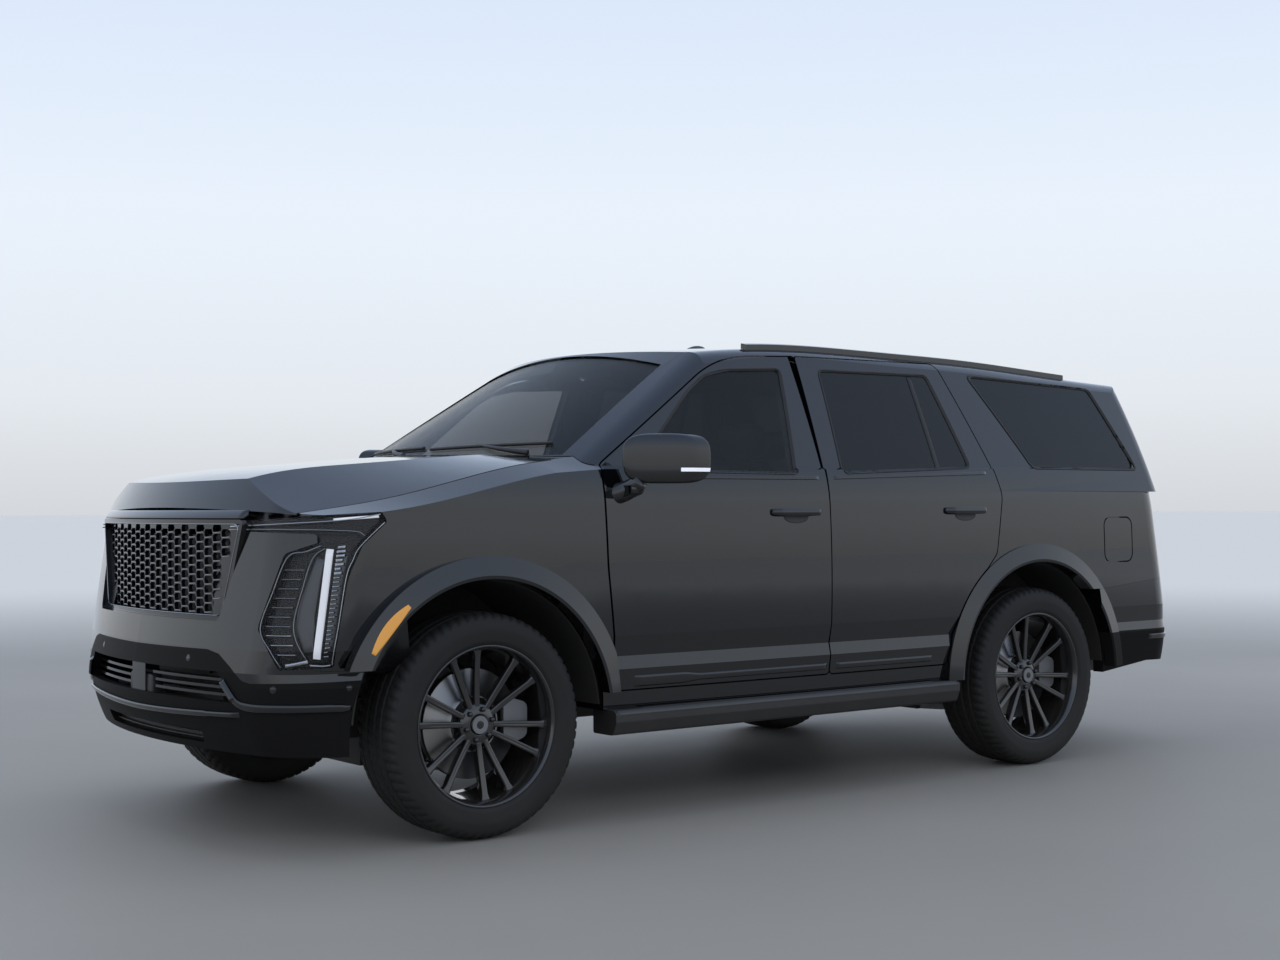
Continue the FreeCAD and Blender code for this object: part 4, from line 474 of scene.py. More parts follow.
def pillow(middle, size, lean=0.0, crown=0.012, seams=(), squareness=0.30, fold=0.0, fine=24):
    """Closed stuffed form: a superellipsoid whose faces swell and whose front has sewn channels.

    A point is size * (c(v)^e c(u)^e, c(v)^e s(u)^e, s(v)^e), with e the squareness, leant about the Y axis.
    Channels run along Z at the given places across, and sink the front face.
    """
    u, v = np.meshgrid(np.linspace(-math.pi, math.pi, 2 * fine + 1)[:-1],
                       np.linspace(-math.pi / 2, math.pi / 2, fine + 1), indexing="ij")

    def power(value):
        return np.sign(value) * np.abs(value) ** squareness

    x = size[0] / 2 * power(np.cos(v)) * power(np.cos(u))
    y = size[1] / 2 * power(np.cos(v)) * power(np.sin(u))
    z = size[2] / 2 * power(np.sin(v))
    swell = (1 - (2 * y / size[1]) ** 2).clip(0) * (1 - (2 * z / size[2]) ** 2).clip(0)
    front = x > 0.2 * size[0]
    x = x + crown * np.sign(x) * swell
    for place in seams:
        x = x - 0.012 * front * np.exp(-((y - place) / 0.006) ** 2)
    if fold:
        for place in (-0.24, 0.24):
            x = x - fold * front * np.exp(-((z / size[2] - place) / 0.022) ** 2)
    c, s = math.cos(lean), math.sin(lean)
    points = np.stack([middle[0] + c * x - s * z, middle[1] + y, middle[2] + s * x + c * z], -1)
    return grid(points, True, False)


def tube(path, radius, thin=1.0, sides=16):
    """Bar along a path: each section is an ellipse square to it, and a pole closes each end.

    The section's level axis is thin times its other one.
    """
    path = np.asarray(path, float)
    radius = np.broadcast_to(radius, len(path))[:, None, None]
    way = np.gradient(path, axis=0)
    way /= np.linalg.norm(way, axis=1, keepdims=True)
    near = (0.0, 0.0, 1.0) if np.abs(way[:, 2]).max() < 0.95 else (0.0, 1.0, 0.0)
    side = np.cross(way, near)
    side /= np.linalg.norm(side, axis=1, keepdims=True)
    rise = np.cross(side, way)
    a = np.linspace(0, 2 * math.pi, sides + 1)[:-1][None, :, None]
    ring = path[:, None] + radius * (thin * np.cos(a) * side[:, None] + np.sin(a) * rise[:, None])
    ends = np.repeat(path[[0, -1]][:, None], sides, 1)
    return grid(np.concatenate([ends[:1], ring, ends[1:]]), False, True)


def two_tone(name, line):
    """Body lacquer above a line, satin black moulding below it.

    The line gives its height over the distance from the middle plane, read from a ramp.
    """
    made, tree, shader, place = blank_material(name, 0.16, ior=PAINT_IOR)
    shader.inputs["Coat IOR"].default_value = COAT_IOR
    split = add(tree, "ShaderNodeSeparateXYZ")
    out = add(tree, "ShaderNodeMath", operation="ABSOLUTE")
    edge = add(tree, "ShaderNodeValToRGB")
    for number, (distance, height) in enumerate(line):
        stop = edge.color_ramp.elements[number] if number < 2 else edge.color_ramp.elements.new(distance)
        stop.position = distance
        stop.color = (height, height, height, 1)
    above = add(tree, "ShaderNodeMath", operation="SUBTRACT")
    mask = add(tree, "ShaderNodeMath", operation="MULTIPLY", use_clamp=True)
    mask.inputs[1].default_value = 800
    colour = add(tree, "ShaderNodeMix", data_type="RGBA")
    colour.inputs[6].default_value = (*PAINT_COLOUR, 1)
    colour.inputs[7].default_value = (0.010, 0.010, 0.0105, 1)
    gloss = add(tree, "ShaderNodeMapRange")
    gloss.inputs["To Min"].default_value = 0.16
    gloss.inputs["To Max"].default_value = 0.42
    coat = add(tree, "ShaderNodeMapRange")
    coat.inputs["To Min"].default_value = 1.0
    coat.inputs["To Max"].default_value = 0.0
    film = add(tree, "ShaderNodeGroup", node_tree=road_film)
    film.inputs["Amount"].default_value = 0.03
    film.inputs["Height"].default_value = 0.8
    relief = add(tree, "ShaderNodeGroup", node_tree=grain)
    relief.inputs["Scale"].default_value = 700
    depth = add(tree, "ShaderNodeMath", operation="MULTIPLY")
    depth.inputs[1].default_value = 0.12
    wire(tree, place, split.inputs[0])
    wire(tree, split.outputs[1], out.inputs[0])
    wire(tree, out.outputs[0], edge.inputs[0])
    wire(tree, edge.outputs[0], above.inputs[0])
    wire(tree, split.outputs[2], above.inputs[1])
    wire(tree, above.outputs[0], mask.inputs[0])
    for target in (colour.inputs[0], gloss.inputs["Value"], coat.inputs["Value"], depth.inputs[0]):
        wire(tree, mask.outputs[0], target)
    wire(tree, place, film.inputs["Place"])
    wire(tree, colour.outputs[2], film.inputs["Clean"])
    wire(tree, gloss.outputs[0], film.inputs["Gloss"])
    wire(tree, film.outputs["Color"], shader.inputs["Base Color"])
    wire(tree, film.outputs["Roughness"], shader.inputs["Roughness"])
    wire(tree, coat.outputs[0], shader.inputs["Coat Weight"])
    wire(tree, place, relief.inputs["Place"])
    wire(tree, depth.outputs[0], relief.inputs["Depth"])
    wire(tree, relief.outputs["Normal"], shader.inputs["Normal"])
    return made


front_two_tone = two_tone("front_two_tone", ((0.0, 0.713), (0.99, 0.615), (0.52, 0.716), (0.588, 0.703),
                                             (0.657, 0.660), (0.718, 0.615), (0.758, 0.607), (0.87, 0.611)))
rear_two_tone = two_tone("rear_two_tone", ((0.0, 0.600), (1.0, 0.600)))
dress(front_two_tone, "front_bumper")
dress(rear_two_tone, "rear_bumper")

STRAKE = ((2.618, 0.612, 0.612), (2.609, 0.655, 0.566), (2.595, 0.690, 0.532), (2.570, 0.750, 0.521),
          (2.504, 0.869, 0.5215), (2.385, 0.940, 0.5215), (2.285, 0.954, 0.518))
strake_line = smooth_line(slanted(STRAKE), 90)
strake_width = np.interp(np.linspace(0, 1, 90), (0, 0.25, 0.45, 0.93, 1.0), (0.022, 0.026, 0.030, 0.030, 0.018))
lip_across = np.linspace(-0.69, 0.69, 140)
lip_line = np.stack([lip_across, 0.4735 + 0.018 * (np.abs(lip_across) / 0.69) ** 1.5], -1)
lip_width = 0.024 - 0.004 * (np.abs(lip_across) > 0.52)
trims = pair(bead(["front_bumper"], 50, strake_line, strake_width, 0.011), False, True)
trims.append(grid(bead(["front_bumper", "grille"], 0, lip_line, lip_width, 0.013, base=0.002), False, True))
slotted("front_bumper_trim", trims, paint)

# Bright outer ends of the intake's slats: height, inner and outer end
SLAT_ENDS = ((0.548, 0.500, 0.672), (0.571, 0.505, 0.652), (0.594, 0.510, 0.632), (0.617, 0.515, 0.612))
slats = []
for height, inner, outer in SLAT_ENDS:
    y = np.linspace(inner, outer, 24)
    slats += pair(np.stack([2.691 - 0.078 - y[:, None] ** 2 / (2 * NOSE_RADIUS) + 0.007 * np.array((-1, 1, 1, -1)),
                            y[:, None] + np.zeros(4), height + 0.0065 * np.array((-1, -0.8, 0.8, 1))
                            + 0 * y[:, None]], -1), False, True)
slotted("intake_slat_ends", slats, paint)

# Painted bar between the bonnet's edge and the grille, bowed like both
y = np.concatenate([[-0.644], np.linspace(-0.641, 0.641, 80), [0.644]])
section = np.array(((-0.052, 1.1815), (0.030, 1.1790), (0.036, 1.1800), (0.038, 1.1830), (0.034, 1.1900),
                    (0.021, 1.2070), (0.014, 1.2115), (0.004, 1.2120), (-0.045, 1.2050)))
shrunk_ends = np.where(np.abs(y) > 0.643, 0.85, 1.0)[:, None]
bar_x = 2.600 - y[:, None] ** 2 / (2 * NOSE_RADIUS) + section[:, 0] * shrunk_ends
bar_face = np.stack([bar_x, y[:, None] + 0 * section[:, 0], section[:, 1] + 0 * y[:, None]], -1)
closed_ends = np.concatenate([bar_face[:1].mean(1, keepdims=True) + 0 * bar_face[:1], bar_face,
                              bar_face[-1:].mean(1, keepdims=True) + 0 * bar_face[-1:]])
slotted("nose_bar", [grid(closed_ends, False, True)], paint)

# Dark screen and two slats behind the low slot
y = np.linspace(-0.46, 0.46, 40)
slot_face = pressed(["front_bumper"], 0, y, 0.360 + 0 * y, -0.030)
screens = []
for low, high, deep in ((0.364, 0.427, 0.0), (0.383, 0.389, 0.014), (0.402, 0.408, 0.014)):
    section = np.stack([deep + 0.004 * np.array((-1, 1, 1, -1)), np.zeros(4), np.array((low, low, high, high))], -1)
    screens.append(grid(slot_face[:, None] * (1, 1, 0) + section, False, True))
slotted("low_slot_screen", screens, satin_black)

slotted("sensor_cover", [pillow((2.645, 0.0, 0.542), (0.046, 0.212, 0.112), 0, 0.004, (), 0.16)], satin_black)


def puck(names, turn, across, height, radius, rise):
    """Round button on the skin with a groove round it."""
    r = np.array((0.0, 0.55, 0.72, 0.76, 0.80, 0.84, 0.97, 1.0))
    lift = rise * np.array((1.1, 1.0, 0.8, -0.5, -0.5, 0.6, 0.5, -1.0))
    a = np.linspace(0, 2 * math.pi, 33)[:-1][:, None]
    return pressed(names, turn, across + radius * r * np.cos(a), height + radius * r * np.sin(a), lift)


sensors = pair(puck(["front_bumper"], 0, 0.408, 0.679, 0.0125, 0.0012), True)
sensors += pair(puck(["front_bumper"], 50, *slanted(((2.535, 0.845, 0.588),))[0], 0.0125, 0.0012), True)
sensors += pair(puck(["front_bumper"], 75, *slanted(((2.300, 0.957, 0.590),), 75)[0], 0.011, 0.0012), True)
for across, height in ((0.30, 0.70), (0.72, 0.70)):
    sensors += pair(puck(["rear_bumper"], 180, across, height, 0.0125, 0.0012), True)
slotted("parking_sensors", sensors, gloss_black)

# Grille: black mesh with a painted highlight, a bright metal dash, on the lower edge of
# each opening, in a gloss surround with a thin bright line along its inner edge.

dark_chrome = finish("dark_chrome", (0.34, 0.345, 0.36), 0.22, metal=1.0, dust=0.04)
bright_metal = finish("bright_metal", (0.62, 0.63, 0.65), 0.16, metal=1.0, dust=0.03)
MESH_PITCH = 0.107
MESH_RISE = 0.034
GRILLE_FRONT = 2.621
GRILLE_FOOT = 0.815
GRILLE_HEIGHT = 0.363
GRILLE_HALF_FOOT = 0.526
GRILLE_HALF_GROWTH = 0.104


def grille_face(y, lift):
    """Place along X of the grille's mesh, which is bowed round a cylinder."""
    return GRILLE_FRONT - NOSE_RADIUS + np.sqrt(NOSE_RADIUS ** 2 - y ** 2) + lift


row, column = np.meshgrid(np.arange(1, 20), np.arange(-7, 8), indexing="ij")
cell_z = 0.823 + row * MESH_RISE / 2
cell_y = (column + 0.5 * (row % 2)) * MESH_PITCH
cell_half = GRILLE_HALF_FOOT + (cell_z - GRILLE_FOOT) / GRILLE_HEIGHT * GRILLE_HALF_GROWTH
kept = np.abs(cell_y) + MESH_PITCH / 2 < cell_half
cell_y, cell_z = cell_y[kept], cell_z[kept]
# Each dash is a painted highlight: a bright metal stroke, short leg down and long leg rising, where the light
# catches the mesh.
DASH = np.array(((-0.0285, -0.0065), (-0.0235, -0.0120), (-0.0205, -0.0165), (-0.0120, -0.0162), (0.004, -0.0150),
                 (0.0205, -0.0135), (0.0260, -0.0090)))
across_dash = np.array((-1.0, -0.55, 0.55, 1.0))
out_dash = np.array((-0.004, 0.0022, 0.0022, -0.004))
dash_half = np.array((0.0014, 0.0024, 0.0030, 0.0028, 0.0024, 0.0018, 0.0009))
dash_y = cell_y[:, None, None] + DASH[None, :, :1] + 0 * across_dash
dash_z = cell_z[:, None, None] + DASH[None, :, 1:] + dash_half[None, :, None] * across_dash
dash_x = grille_face(dash_y, out_dash)
n = len(cell_y)
dashes = np.stack([dash_x, dash_y, dash_z], -1)
i, j = np.meshgrid(np.arange(6), np.arange(4), indexing="ij")
one = np.stack([i * 4 + j, (i + 1) * 4 + j, (i + 1) * 4 + (j + 1) % 4, i * 4 + (j + 1) % 4], -1).reshape(-1, 4)
dash_quads = (one[None] + 28 * np.arange(n)[:, None, None]).reshape(-1, 4)
highlight_dashes = piece("grille_highlight_dashes", [(dashes.reshape(-1, 3), dash_quads)], dark_chrome, "root", smooth=False)


def soft_loop(corners, count, soften):
    """Closed line round the corners, evenly sampled, then averaged over its neighbours to round them."""
    c = np.asarray(corners, float)
    c = np.concatenate([c, c[:1]])
    along = np.concatenate([[0], np.cumsum(np.linalg.norm(np.diff(c, axis=0), axis=1))])
    s = np.linspace(0, along[-1], count + 1)[:-1]
    line = np.stack([np.interp(s, along, c[:, k]) for k in range(c.shape[1])], -1)
    return np.mean([np.roll(line, k, axis=0) for k in range(-soften, soften + 1)], axis=0)


frame_line = soft_loop(((-0.538, 0.833), (0.538, 0.833), (0.639, 1.161), (-0.639, 1.161)), 400, 4)
frame_path = np.stack([grille_face(frame_line[:, 0], 0.020), frame_line[:, 0], frame_line[:, 1]], -1)
turn_a = np.linspace(0, 2 * math.pi, 9)[:-1]
frame_ring = frame_path[:, None] + 0.0024 * np.stack([np.cos(turn_a), 0 * turn_a, np.sin(turn_a)], -1)
frame_ring[..., 1] += 0.0024 * np.sin(turn_a) * np.sign(frame_path[:, None, 1])
slotted("grille_line", [grid(frame_ring, True, True)], dark_chrome)

# Headlamps: a clear lens over a black housing, with an upright light bar, a
# stack of bright ribs beside it, dark slats inboard and a thin top light.

lens_clear = glass("lens_clear", (0.030, 0.032, 0.036), 0.03, 0.80)
lamp_black = finish("lamp_black", (0.006, 0.006, 0.007), 0.25, dust=0)
lamp_grey = finish("lamp_grey", (0.13, 0.135, 0.145), 0.3, metal=0.7, dust=0)
light_bar = finish("light_bar", (0.80, 0.84, 0.92), 0.2, coat=0.5, dust=0)
light_bar.node_tree.nodes["Principled BSDF"].inputs["Emission Color"].default_value = (0.85, 0.90, 1.0, 1)
light_bar.node_tree.nodes["Principled BSDF"].inputs["Emission Strength"].default_value = 0.35
dress(lens_clear, "headlamps")
LAMP_AT = -1.2600


def lamp_bead(line, width, rise, base, count=60):
    """Bar inside the lens along a line of (across, height) millimetres from the lamp's middle."""
    line = smooth_line(np.asarray(line, float) / 1000 + (LAMP_AT, 0), count)
    return pair(bead(["headlamps"], 50, line, width, rise, base=base, sunk=0.002), False, True)


back_u, back_z = np.meshgrid(np.linspace(-0.42, 0.30, 90), np.linspace(0.625, 1.225, 90), indexing="ij")
slotted("lamp_backing",
        pair(pressed(["headlamps", "fenders", "front_bumper", "hood"], 50, back_u + LAMP_AT, back_z, -0.0375)),
        lamp_black)
bars = lamp_bead(((49, 1074), (29, 880), (8, 692)), 0.025, 0.009, -0.020, 30)
bars += lamp_bead(((60, 1176), (130, 1182), (205, 1188)), 0.010, 0.004, -0.010, 30)
slotted("lamp_lights", bars, light_bar)
ribs = []
for z in np.linspace(700, 1080, 26):
    share = (z - 693) / 392
    left = 30 + 43 * share
    right = 50 + 54 * share + 4 * math.sin(z)
    ribs += lamp_bead(((left, z), ((left + right) / 2, z + 1), (right, z + 2)), 0.0045 + 0.006 * (share > 0.72),
                      0.006, -0.018, 8)
for z, left, right in ((708, -132, -62), (741, -160, -72), (774, -178, -80)):
    ribs += lamp_bead(((left, z), ((left + right) / 2, z), (right, z)), 0.0035, 0.003, -0.012, 10)
ribs += lamp_bead(((-108, 668), (-60, 676), (-22, 684)), 0.014, 0.008, -0.016, 12)
ribs += lamp_bead(((-14, 671), (30, 668), (62, 671)), 0.007, 0.006, -0.012, 12)
ribs += lamp_bead(((60, 673), (82, 800), (107, 975), (128, 1036), (150, 1082), (224, 1166)), 0.0035, 0.0025,
                  -0.004, 50)
ribs += lamp_bead(((-330, 1153), (-100, 1164), (100, 1176), (214, 1196)), 0.004, 0.003, -0.006, 60)
slotted("lamp_ribs", ribs, bright_metal)
lines = []
for z in np.linspace(806, 1002, 7):
    left = np.interp(z, (798, 1058), (-196, -112)) + 14
    right = np.interp(z, (689, 824, 1034), (-26, -72, -14)) - 16
    lines += lamp_bead(((left, z), ((left + right) / 2, z), (right, z)), 0.003, 0.003, -0.012, 10)
lines += lamp_bead(((20, 1086), (-30, 1066), (-96, 1046), (-150, 920), (-193, 798), (-150, 720), (-112, 664)),
                   0.0035, 0.003, -0.003, 60)
lines += lamp_bead(((34, 1078), (-8, 1040), (-42, 930), (-68, 824), (-60, 760), (-24, 690)), 0.004, 0.006,
                   -0.012, 60)
lines += lamp_bead(((-335, 1142), (-100, 1143), (120, 1137), (165, 1120)), 0.004, 0.003, -0.005, 60)
slotted("lamp_lines", lines, dark_chrome)
bowl_width = np.interp(np.linspace(0, 1, 40), (0, 0.5, 0.75, 1), (0.03, 0.06, 0.066, 0.03))
reflect = lamp_bead(((16, 1040), (-12, 930), (-32, 824), (-20, 716)), bowl_width, 0.004, -0.027, 40)
reflect += lamp_bead(((88, 1050), (70, 900), (52, 720)), 0.040, 0.004, -0.030, 40)
slotted("lamp_reflector", reflect, lamp_grey)

# Tyres: ribbed road rubber with cut shoulder blocks, a rim guard and low
# rings on its side walls, seated on the rim's flanges.

FRONT_AXLE = 1.749
REAR_AXLE = -1.322
WHEELS = (("front_left", FRONT_AXLE, 1), ("front_right", FRONT_AXLE, -1), ("rear_left", REAR_AXLE, 1),
          ("rear_right", REAR_AXLE, -1))
AXLE_HEIGHT = 0.417
WHEEL_Y = 0.869
PITCHES = 66
CUTS = 6


def turned(profile, angles, x, side):
    """Surface of a (radius, along) profile round a wheel's axle; profile may change with the angle.

    A point is (x + r cos a, side * (middle + along), height + r sin a).
    """
    r, along = profile[..., 0], profile[..., 1]
    a = angles[:, None]
    return np.stack([x + r * np.cos(a), side * (WHEEL_Y + along) + 0 * a, AXLE_HEIGHT + r * np.sin(a)], -1)


WALL = smooth_line(((0.2925, 0.1150), (0.2965, 0.1235), (0.3040, 0.1290), (0.3110, 0.1330), (0.3200, 0.1345),
                    (0.3420, 0.1368), (0.3620, 0.1366), (0.3830, 0.1325), (0.3990, 0.1245)), 18)
TREAD_Y = np.array((0.118, 0.112, 0.104, 0.096, 0.088, 0.080, 0.0765, 0.0755, 0.0685, 0.0675, 0.058, 0.048,
                    0.040, 0.0325, 0.0315, 0.0245, 0.0235, 0.012, 0.0))
tread_r = np.interp(TREAD_Y, (0.0, 0.07, 0.098, 0.112, 0.118), (0.4165, 0.4158, 0.4135, 0.4085, 0.4050))
half = np.concatenate([WALL, np.stack([tread_r, TREAD_Y], -1)])
loop = np.concatenate([half, half[-2::-1] * (1, -1)])
across = np.abs(loop[:, 1])
in_tread = loop[:, 0] > 0.4045
ring = 0.0009 * (np.cos((loop[:, 0] - 0.331) * 2 * math.pi / 0.012) > 0.6) * (np.abs(loop[:, 0] - 0.343) < 0.018)
groove = (in_tread & (((across > 0.068) & (across < 0.076)) | ((across > 0.024) & (across < 0.032)))) * 0.008
columns = PITCHES * CUTS
turn_angle = np.arange(columns) * 2 * math.pi / columns
step = (np.arange(columns)[:, None] + np.round((loop[None, :, 1] + 0.15) * 42)) % CUTS
shoulder = (across[None] > 0.0765) & (loop[None, :, 0] > 0.392)
rib = in_tread[None] & (across[None] < 0.0675)
cut = np.where(shoulder & (step < 2), 0.0055, 0) + np.where(rib & (step < 1), 0.0030, 0)
profile = np.repeat(loop[None], columns, 0)
profile[..., 0] -= np.maximum(cut, groove[None])
profile[..., 1] += np.sign(loop[None, :, 1]) * ring[None]
for corner, x, side in WHEELS:
    tyre = piece("tyre_tread_" + corner, [grid(turned(profile, turn_angle, x, side), True, True)], rubber,
                 "wheel_" + corner)
    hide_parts("tyre_" + corner)

# Rims: cast and lacquered black, six vee pairs of spokes that dish in to a
# hub with six nuts and a plain cap; the barrel is turned.

BARREL = np.array(((0.268, -0.1240), (0.2905, -0.1255), (0.2962, -0.1255), (0.2975, -0.1225), (0.2930, -0.1140),
                   (0.2800, -0.1050), (0.2780, 0.0000), (0.2800, 0.1000), (0.2925, 0.1120), (0.2972, 0.1205),
                   (0.2985, 0.1250), (0.2970, 0.1275), (0.2930, 0.1280), (0.2895, 0.1262), (0.2850, 0.1160),
                   (0.2800, 0.1050), (0.2762, 0.0900), (0.2730, 0.0600), (0.2690, 0.0000), (0.2680, -0.0800)))
HUB = np.array(((0.0342, 0.0285), (0.0700, 0.0285), (0.0790, 0.0330), (0.0800, 0.0470), (0.0770, 0.0545),
                (0.0720, 0.0580), (0.0560, 0.0625), (0.0410, 0.0660), (0.0375, 0.0655), (0.0370, 0.0630),
                (0.0342, 0.0620)))
CAP = np.array(((0.0, 0.0735), (0.012, 0.0733), (0.024, 0.0722), (0.0325, 0.0698), (0.0355, 0.0670),
                (0.0360, 0.0600), (0.030, 0.0580), (0.0, 0.0580)))
SPOKE_PAIRS = 6


def spoke(angle, lean, x, side):
    """One spoke: a chamfered bar whose middle line leans out from the hub and whose face rises to the rim.

    Along it, s goes from 0 at the hub to 1 at the rim; round it, the section has twelve corners.
    """
    s = np.linspace(0, 1, 15)[:, None]
    reach = 0.052 + 0.232 * s
    middle = lean * (0.0125 + 0.046 * s ** 1.08)
    wide = 0.0118 + 0.0015 * s + 0.0095 * np.clip(s - 0.86, 0, 1) / 0.14
    face = 0.0590 + 0.030 * s ** 1.35
    deep = 0.030 + 0.010 * np.sin(math.pi * s)
    corner_t = np.array((-1.0, -0.93, -0.72, -0.3, 0.3, 0.72, 0.93, 1.0, 0.96, 0.62, -0.62, -0.96))
    corner_y = np.array((-0.30, -0.09, -0.015, 0.0, 0.0, -0.015, -0.09, -0.30, -0.80, -1.0, -1.0, -0.80))
    t = middle + wide * corner_t
    y = face + deep * corner_y + 0.0022 * (np.abs(corner_t) < 0.5) * np.sin(math.pi * s) * -1
    ca, sa = math.cos(angle), math.sin(angle)
    points = np.stack([x + reach * ca - t * sa, side * (WHEEL_Y + y), AXLE_HEIGHT + reach * sa + t * ca], -1)
    ends = np.stack([points[:1].mean(1, keepdims=True) + 0 * points[0], points[-1:].mean(1, keepdims=True)
                     + 0 * points[0]])[:, 0]
    return grid(np.concatenate([ends[:1], points, ends[1:]]), False, True)


def nut(angle, radius, x, side):
    """Wheel nut: a six-sided stub with a domed end."""
    sides = np.arange(6) * math.pi / 3
    rows = np.array(((0.0104, 0.050), (0.0104, 0.0700), (0.0096, 0.0735), (0.0062, 0.0760), (0.0, 0.0768)))
    cx = radius * math.cos(angle)
    cz = radius * math.sin(angle)
    points = np.stack([x + cx + rows[:, :1] * np.cos(sides), side * (WHEEL_Y + rows[:, 1:] + 0 * sides),
                       AXLE_HEIGHT + cz + rows[:, :1] * np.sin(sides)], -1)
    return grid(points, False, True)


round_turn = np.linspace(0, 2 * math.pi, 145)[:-1]
for corner, x, side in WHEELS:
    parts = [grid(turned(np.repeat(BARREL[None], 144, 0), round_turn, x, side), True, True),
             grid(turned(np.repeat(HUB[None], 144, 0), round_turn, x, side), True, True)]
    for k in range(SPOKE_PAIRS):
        middle = math.radians(360 / SPOKE_PAIRS * k + 15)
        parts += [spoke(middle, lean, x, side) for lean in (-1, 1)]
    rim = piece("rim_cast_" + corner, parts, rim_lacquer, "wheel_" + corner)
    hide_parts("rim_" + corner)
    bits = [nut(math.radians(60 * k + 45), 0.0575, x, side) for k in range(6)]
    bits.append(grid(turned(np.repeat(CAP[None], 144, 0), round_turn, x, side), True, False))
    slotted("hub_cap_" + corner, bits, gloss_black, "wheel_" + corner)

# Brakes: turned iron discs, each with a raised hat that meets the hub.

for corner, x, side in WHEELS:
    turn = np.array(((0.100, 0.0290), (0.1035, 0.0296), (0.108, 0.0050), (0.2035, 0.0046), (0.2056, 0.0030),
                     (0.2056, -0.0240), (0.2035, -0.0262), (0.110, -0.0262), (0.108, -0.010), (0.096, 0.026)))
    rotor = grid(turned(np.repeat(turn[None], 144, 0), round_turn, x, side), True, True)
    disc = piece("brake_rotor_" + corner, [rotor], disc_iron, "wheel_" + corner)
    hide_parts("brake_disc_" + corner)

# Sides: rubber seals round the panes, a divider in the rear doors' glass,
# painted pull handles over dark cups, low mouldings and ribbed steps.


def sided(name, parts, material, body):
    """A piece for each side from points of the left one with their wraps; a body ending in _ takes the side."""
    for side, sign in SIDES:
        grids = [grid((points * (1, sign, 1))[::sign], wrap_u, wrap_v) for points, wrap_u, wrap_v in parts]
        made = slotted(name + "_" + side, grids, material, body + side if body.endswith("_") else body)


seal_rubber = finish("seal_rubber", (0.012, 0.012, 0.012), 0.45, dust=0.05)
# Corners as (x, z), the nodes that carry the seal, and its body
PANES = (
    ("front", ((0.194, 1.359), (0.136, 1.812), (0.442, 1.795), (0.570, 1.766), (0.680, 1.694), (1.036, 1.364)),
     ["door_front_left", "window_front_left"], "door_front_"),
    ("rear", ((-0.080, 1.364), (-0.092, 1.817), (-0.775, 1.823), (-0.904, 1.397)),
     ["door_rear_left", "window_rear_left"], "door_rear_"),
    ("quarter", ((-1.058, 1.834), (-1.965, 1.806), (-2.172, 1.402), (-1.352, 1.400)),
     ["body_sides", "quarter_windows"], "root"),
)
for label, corners, carriers, body in PANES:
    line = soft_loop([(-x, z) for x, z in corners], 300, 3)
    sided("seal_" + label, [(bead(carriers, 90, line, 0.014, 0.003, base=0.001, closed=True), True, True)],
          seal_rubber, body)
# Seals on the belt line under the front and the rear pane, and the divider
for label, x_front, x_rear, z_front, z_rear in (("front", 1.075, 0.075, 1.338, 1.340),
                                                 ("rear", 0.000, -1.000, 1.342, 1.372)):
    t = np.linspace(0, 1, 80)
    line = np.stack([-x_front + (x_front - x_rear) * t, z_front + (z_rear - z_front) * t], -1)
    sided("belt_seal_" + label, [(bead(["door_%s_left" % label], 90, line, 0.016, 0.005), False, True)],
          gloss_black, "door_%s_" % label)
t = np.linspace(0, 1, 40)
line = np.stack([0.690 - 0.030 * t, 1.385 + 0.435 * t], -1)
sided("glass_divider", [(bead(["window_rear_left", "door_rear_left"], 90, line, 0.026, 0.005), False, True)],
      seal_rubber, "door_rear_")

for label, x_front, x_rear, height in (("front", 0.366, 0.091, 1.196), ("rear", -0.684, -0.955, 1.200)):
    door = ["door_%s_left" % label]
    t = np.linspace(0, 1, 44)
    proud = 0.031 * np.clip(np.minimum(t, 1 - t) / 0.11, 0, 1) ** 0.6 - 0.004
    path = pressed(door, 90, -x_front + (x_front - x_rear) * t, height + 0 * t, proud)
    bar = tube(path, 0.0165 - 0.004 * (2 * np.abs(t - 0.5)) ** 4, thin=0.5, sides=20)
    sided("door_handle_" + label, [(bar[0].reshape(-1, 20, 3), False, True)], paint, "door_%s_" % label)
    a, r = np.meshgrid(np.linspace(0, 2 * math.pi, 49)[:-1], (0.0, 0.4, 0.8, 0.94, 1.0), indexing="ij")
    middle = -(x_front + x_rear) / 2
    lift = np.broadcast_to((0.0008, 0.0008, 0.0008, 0.0016, -0.001), a.shape)
    cup = pressed(door, 90, middle + 0.072 * r * np.cos(a), height - 0.022 + 0.026 * r * np.sin(a), lift)
    sided("handle_cup_" + label, [(cup, True, False)], satin_black, "door_%s_" % label)

# Door mouldings, on the front door wider at its front end
t = np.linspace(0, 1, 90)
for label, x_front, x_rear, width in (("front", 1.075, 0.045, np.interp(t, (0, 0.24, 0.32), (0.046, 0.046, 0.028))),
                                      ("rear", -0.004, -0.60, 0.028 + 0 * t)):
    line = np.stack([-x_front + (x_front - x_rear) * t, 0.540 + 0 * t], -1)
    sided("door_moulding_" + label, [(bead(["door_%s_left" % label], 90, line, width, 0.008), False, True)],
          gloss_black, "door_%s_" % label)

step_grey = finish("step_grey", (0.055, 0.058, 0.062), 0.38, metal=0.3, dust=0.2)
t = np.linspace(0, 1, 120)
line = np.stack([-1.18 + 1.92 * t, 0.425 + 0 * t], -1)
sided("step_edge", [(bead(["running_boards"], 90, line, 0.018, 0.0015, sunk=0.002), False, True)], step_grey,
      "root")
ribs = []
for y in np.linspace(0.905, 1.000, 7):
    line = np.stack([y + 0 * t, -1.05 + 1.68 * t], -1)
    ribs.append((bead(["running_boards"], "top", line, 0.007, 0.0025, sunk=0.002), False, True))
sided("step_ribs", ribs, seal_rubber, "root")

